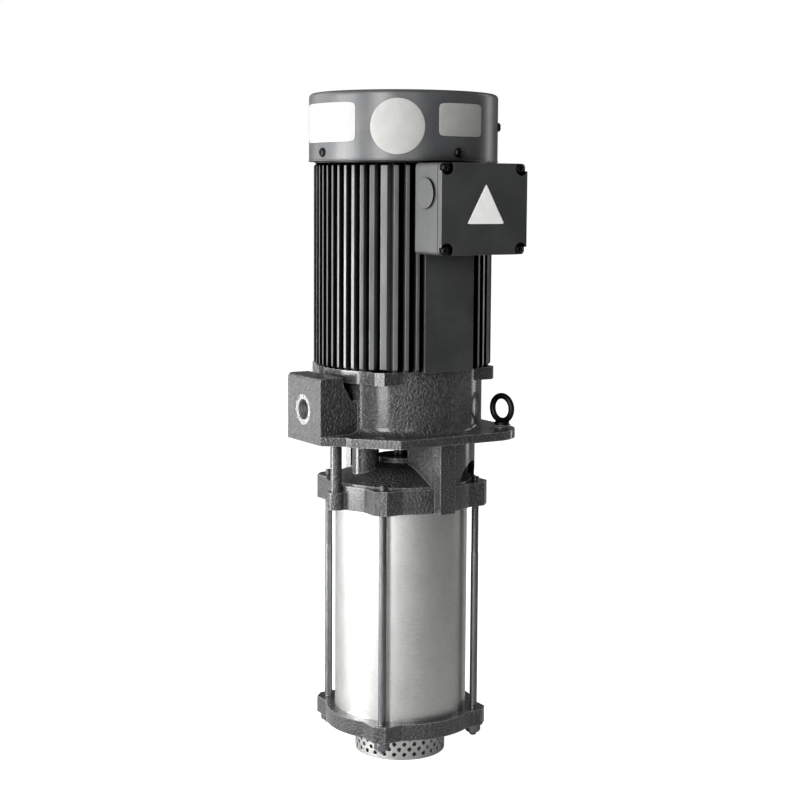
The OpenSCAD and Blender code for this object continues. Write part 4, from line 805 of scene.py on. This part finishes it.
# %% Sky and lamps
SKY_LIGHT = 0.13
world = bpy.data.worlds.new("studio")
bpy.context.scene.world = world
world.use_nodes = True
sky = world.node_tree.nodes["Background"]
sky.inputs["Color"].default_value = (1, 1, 1, 1)
sky_seen = add_node(world.node_tree, "ShaderNodeLightPath").outputs["Is Camera Ray"]
sky_strength = add_node(world.node_tree, "ShaderNodeMapRange", {"Value": sky_seen}, From_Min=0.0,
                        From_Max=1.0, To_Min=SKY_LIGHT, To_Max=1.0)
world.node_tree.links.new(sky_strength.outputs[0], sky.inputs["Strength"])

AIM = np.array([0, 0, 40 * MM])
VIEW_TURN = math.radians(-31.7)


def seen_from(turn_degrees, distance, height):
    """Point (d sin t, -d cos t, height), with t counted to the right from the camera's direction."""
    turn = VIEW_TURN + math.radians(turn_degrees)
    return np.array([distance * math.sin(turn), -distance * math.cos(turn), height])


def facing(side, rise, back, spot):
    """The matrix of an object at spot whose own X, Y and Z point along side, rise and back."""
    return Matrix([[side[i], rise[i], back[i], spot[i]] for i in range(3)] + [[0, 0, 0, 1]])


def aimed_lamp(name, turn_degrees, distance, height, width, tall, power):
    """An area lamp at that point, turned so that it faces the middle of the pump."""
    light = bpy.data.lights.new(name, "AREA")
    light.shape = "RECTANGLE"
    light.size, light.size_y = width, tall
    light.energy = power
    lamp = bpy.data.objects.new(name, light)
    bpy.context.scene.collection.objects.link(lamp)
    spot = seen_from(turn_degrees, distance, height)
    back = (spot - AIM) / np.linalg.norm(spot - AIM)
    side = np.cross([0, 0, 1], back)
    side /= np.linalg.norm(side)
    rise = np.cross(back, side)
    lamp.matrix_world = facing(side, rise, back, spot)


aimed_lamp("left_soft_box", -66, 1.8, 0.8, 1.3, 1.3, 13)
aimed_lamp("left_low_box", -74, 1.7, -0.05, 0.9, 0.7, 48)
aimed_lamp("left_rear_wall", -114, 1.9, 0.5, 1.5, 2.2, 18)
aimed_lamp("front_strip", -26, 2.0, 0.6, 0.55, 1.8, 42)
aimed_lamp("front_fill", 9, 2.6, 0.8, 0.8, 2.0, 11)
aimed_lamp("right_strip", 124, 1.8, 0.4, 0.3, 1.8, 6)
print("lamps:", [light.name for light in bpy.data.lights])

# %% [markdown]
# ## Camera
# The camera stands where the photograph was taken, a little above the terminal box, with a long
# lens that looks slightly down. Its frame is shifted by a few per cent, so that the pump sits in
# the picture as it does in the photograph.

# %% Camera
SENSOR_MM = 36.0
FOCAL_MM = 71.94
FRAME_PIXELS = 800
EYE_DISTANCE = 1.676
EYE_HEIGHT = 0.2528
PITCH_DOWN = 5.68
ROLL = 0.35
OPTICAL_COLUMN = 402.1
OPTICAL_ROW = 352.0

camera_data = bpy.data.cameras.new("camera")
camera_data.sensor_width = SENSOR_MM
camera_data.lens = FOCAL_MM
camera_data.shift_x = -(OPTICAL_COLUMN - FRAME_PIXELS / 2) / FRAME_PIXELS
camera_data.shift_y = -(FRAME_PIXELS / 2 - OPTICAL_ROW) / FRAME_PIXELS
camera_data.clip_end = 100
camera = bpy.data.objects.new("camera", camera_data)
bpy.context.scene.collection.objects.link(camera)
eye = seen_from(0, EYE_DISTANCE, EYE_HEIGHT)
forward = np.array([-eye[0], -eye[1], 0]) / EYE_DISTANCE
right = np.cross(forward, [0, 0, 1])
pitch, roll = math.radians(PITCH_DOWN), math.radians(ROLL)
ahead = forward * math.cos(pitch) - np.array([0, 0, math.sin(pitch)])
up = np.cross(right, ahead)
right, up = right * math.cos(roll) + up * math.sin(roll), up * math.cos(roll) - right * math.sin(roll)
camera.matrix_world = facing(right, up, -ahead, eye)
bpy.context.scene.camera = camera
bpy.context.scene.view_settings.view_transform = "Standard"
print("camera at", [round(v, 3) for v in eye], "with a lens of", FOCAL_MM, "mm")
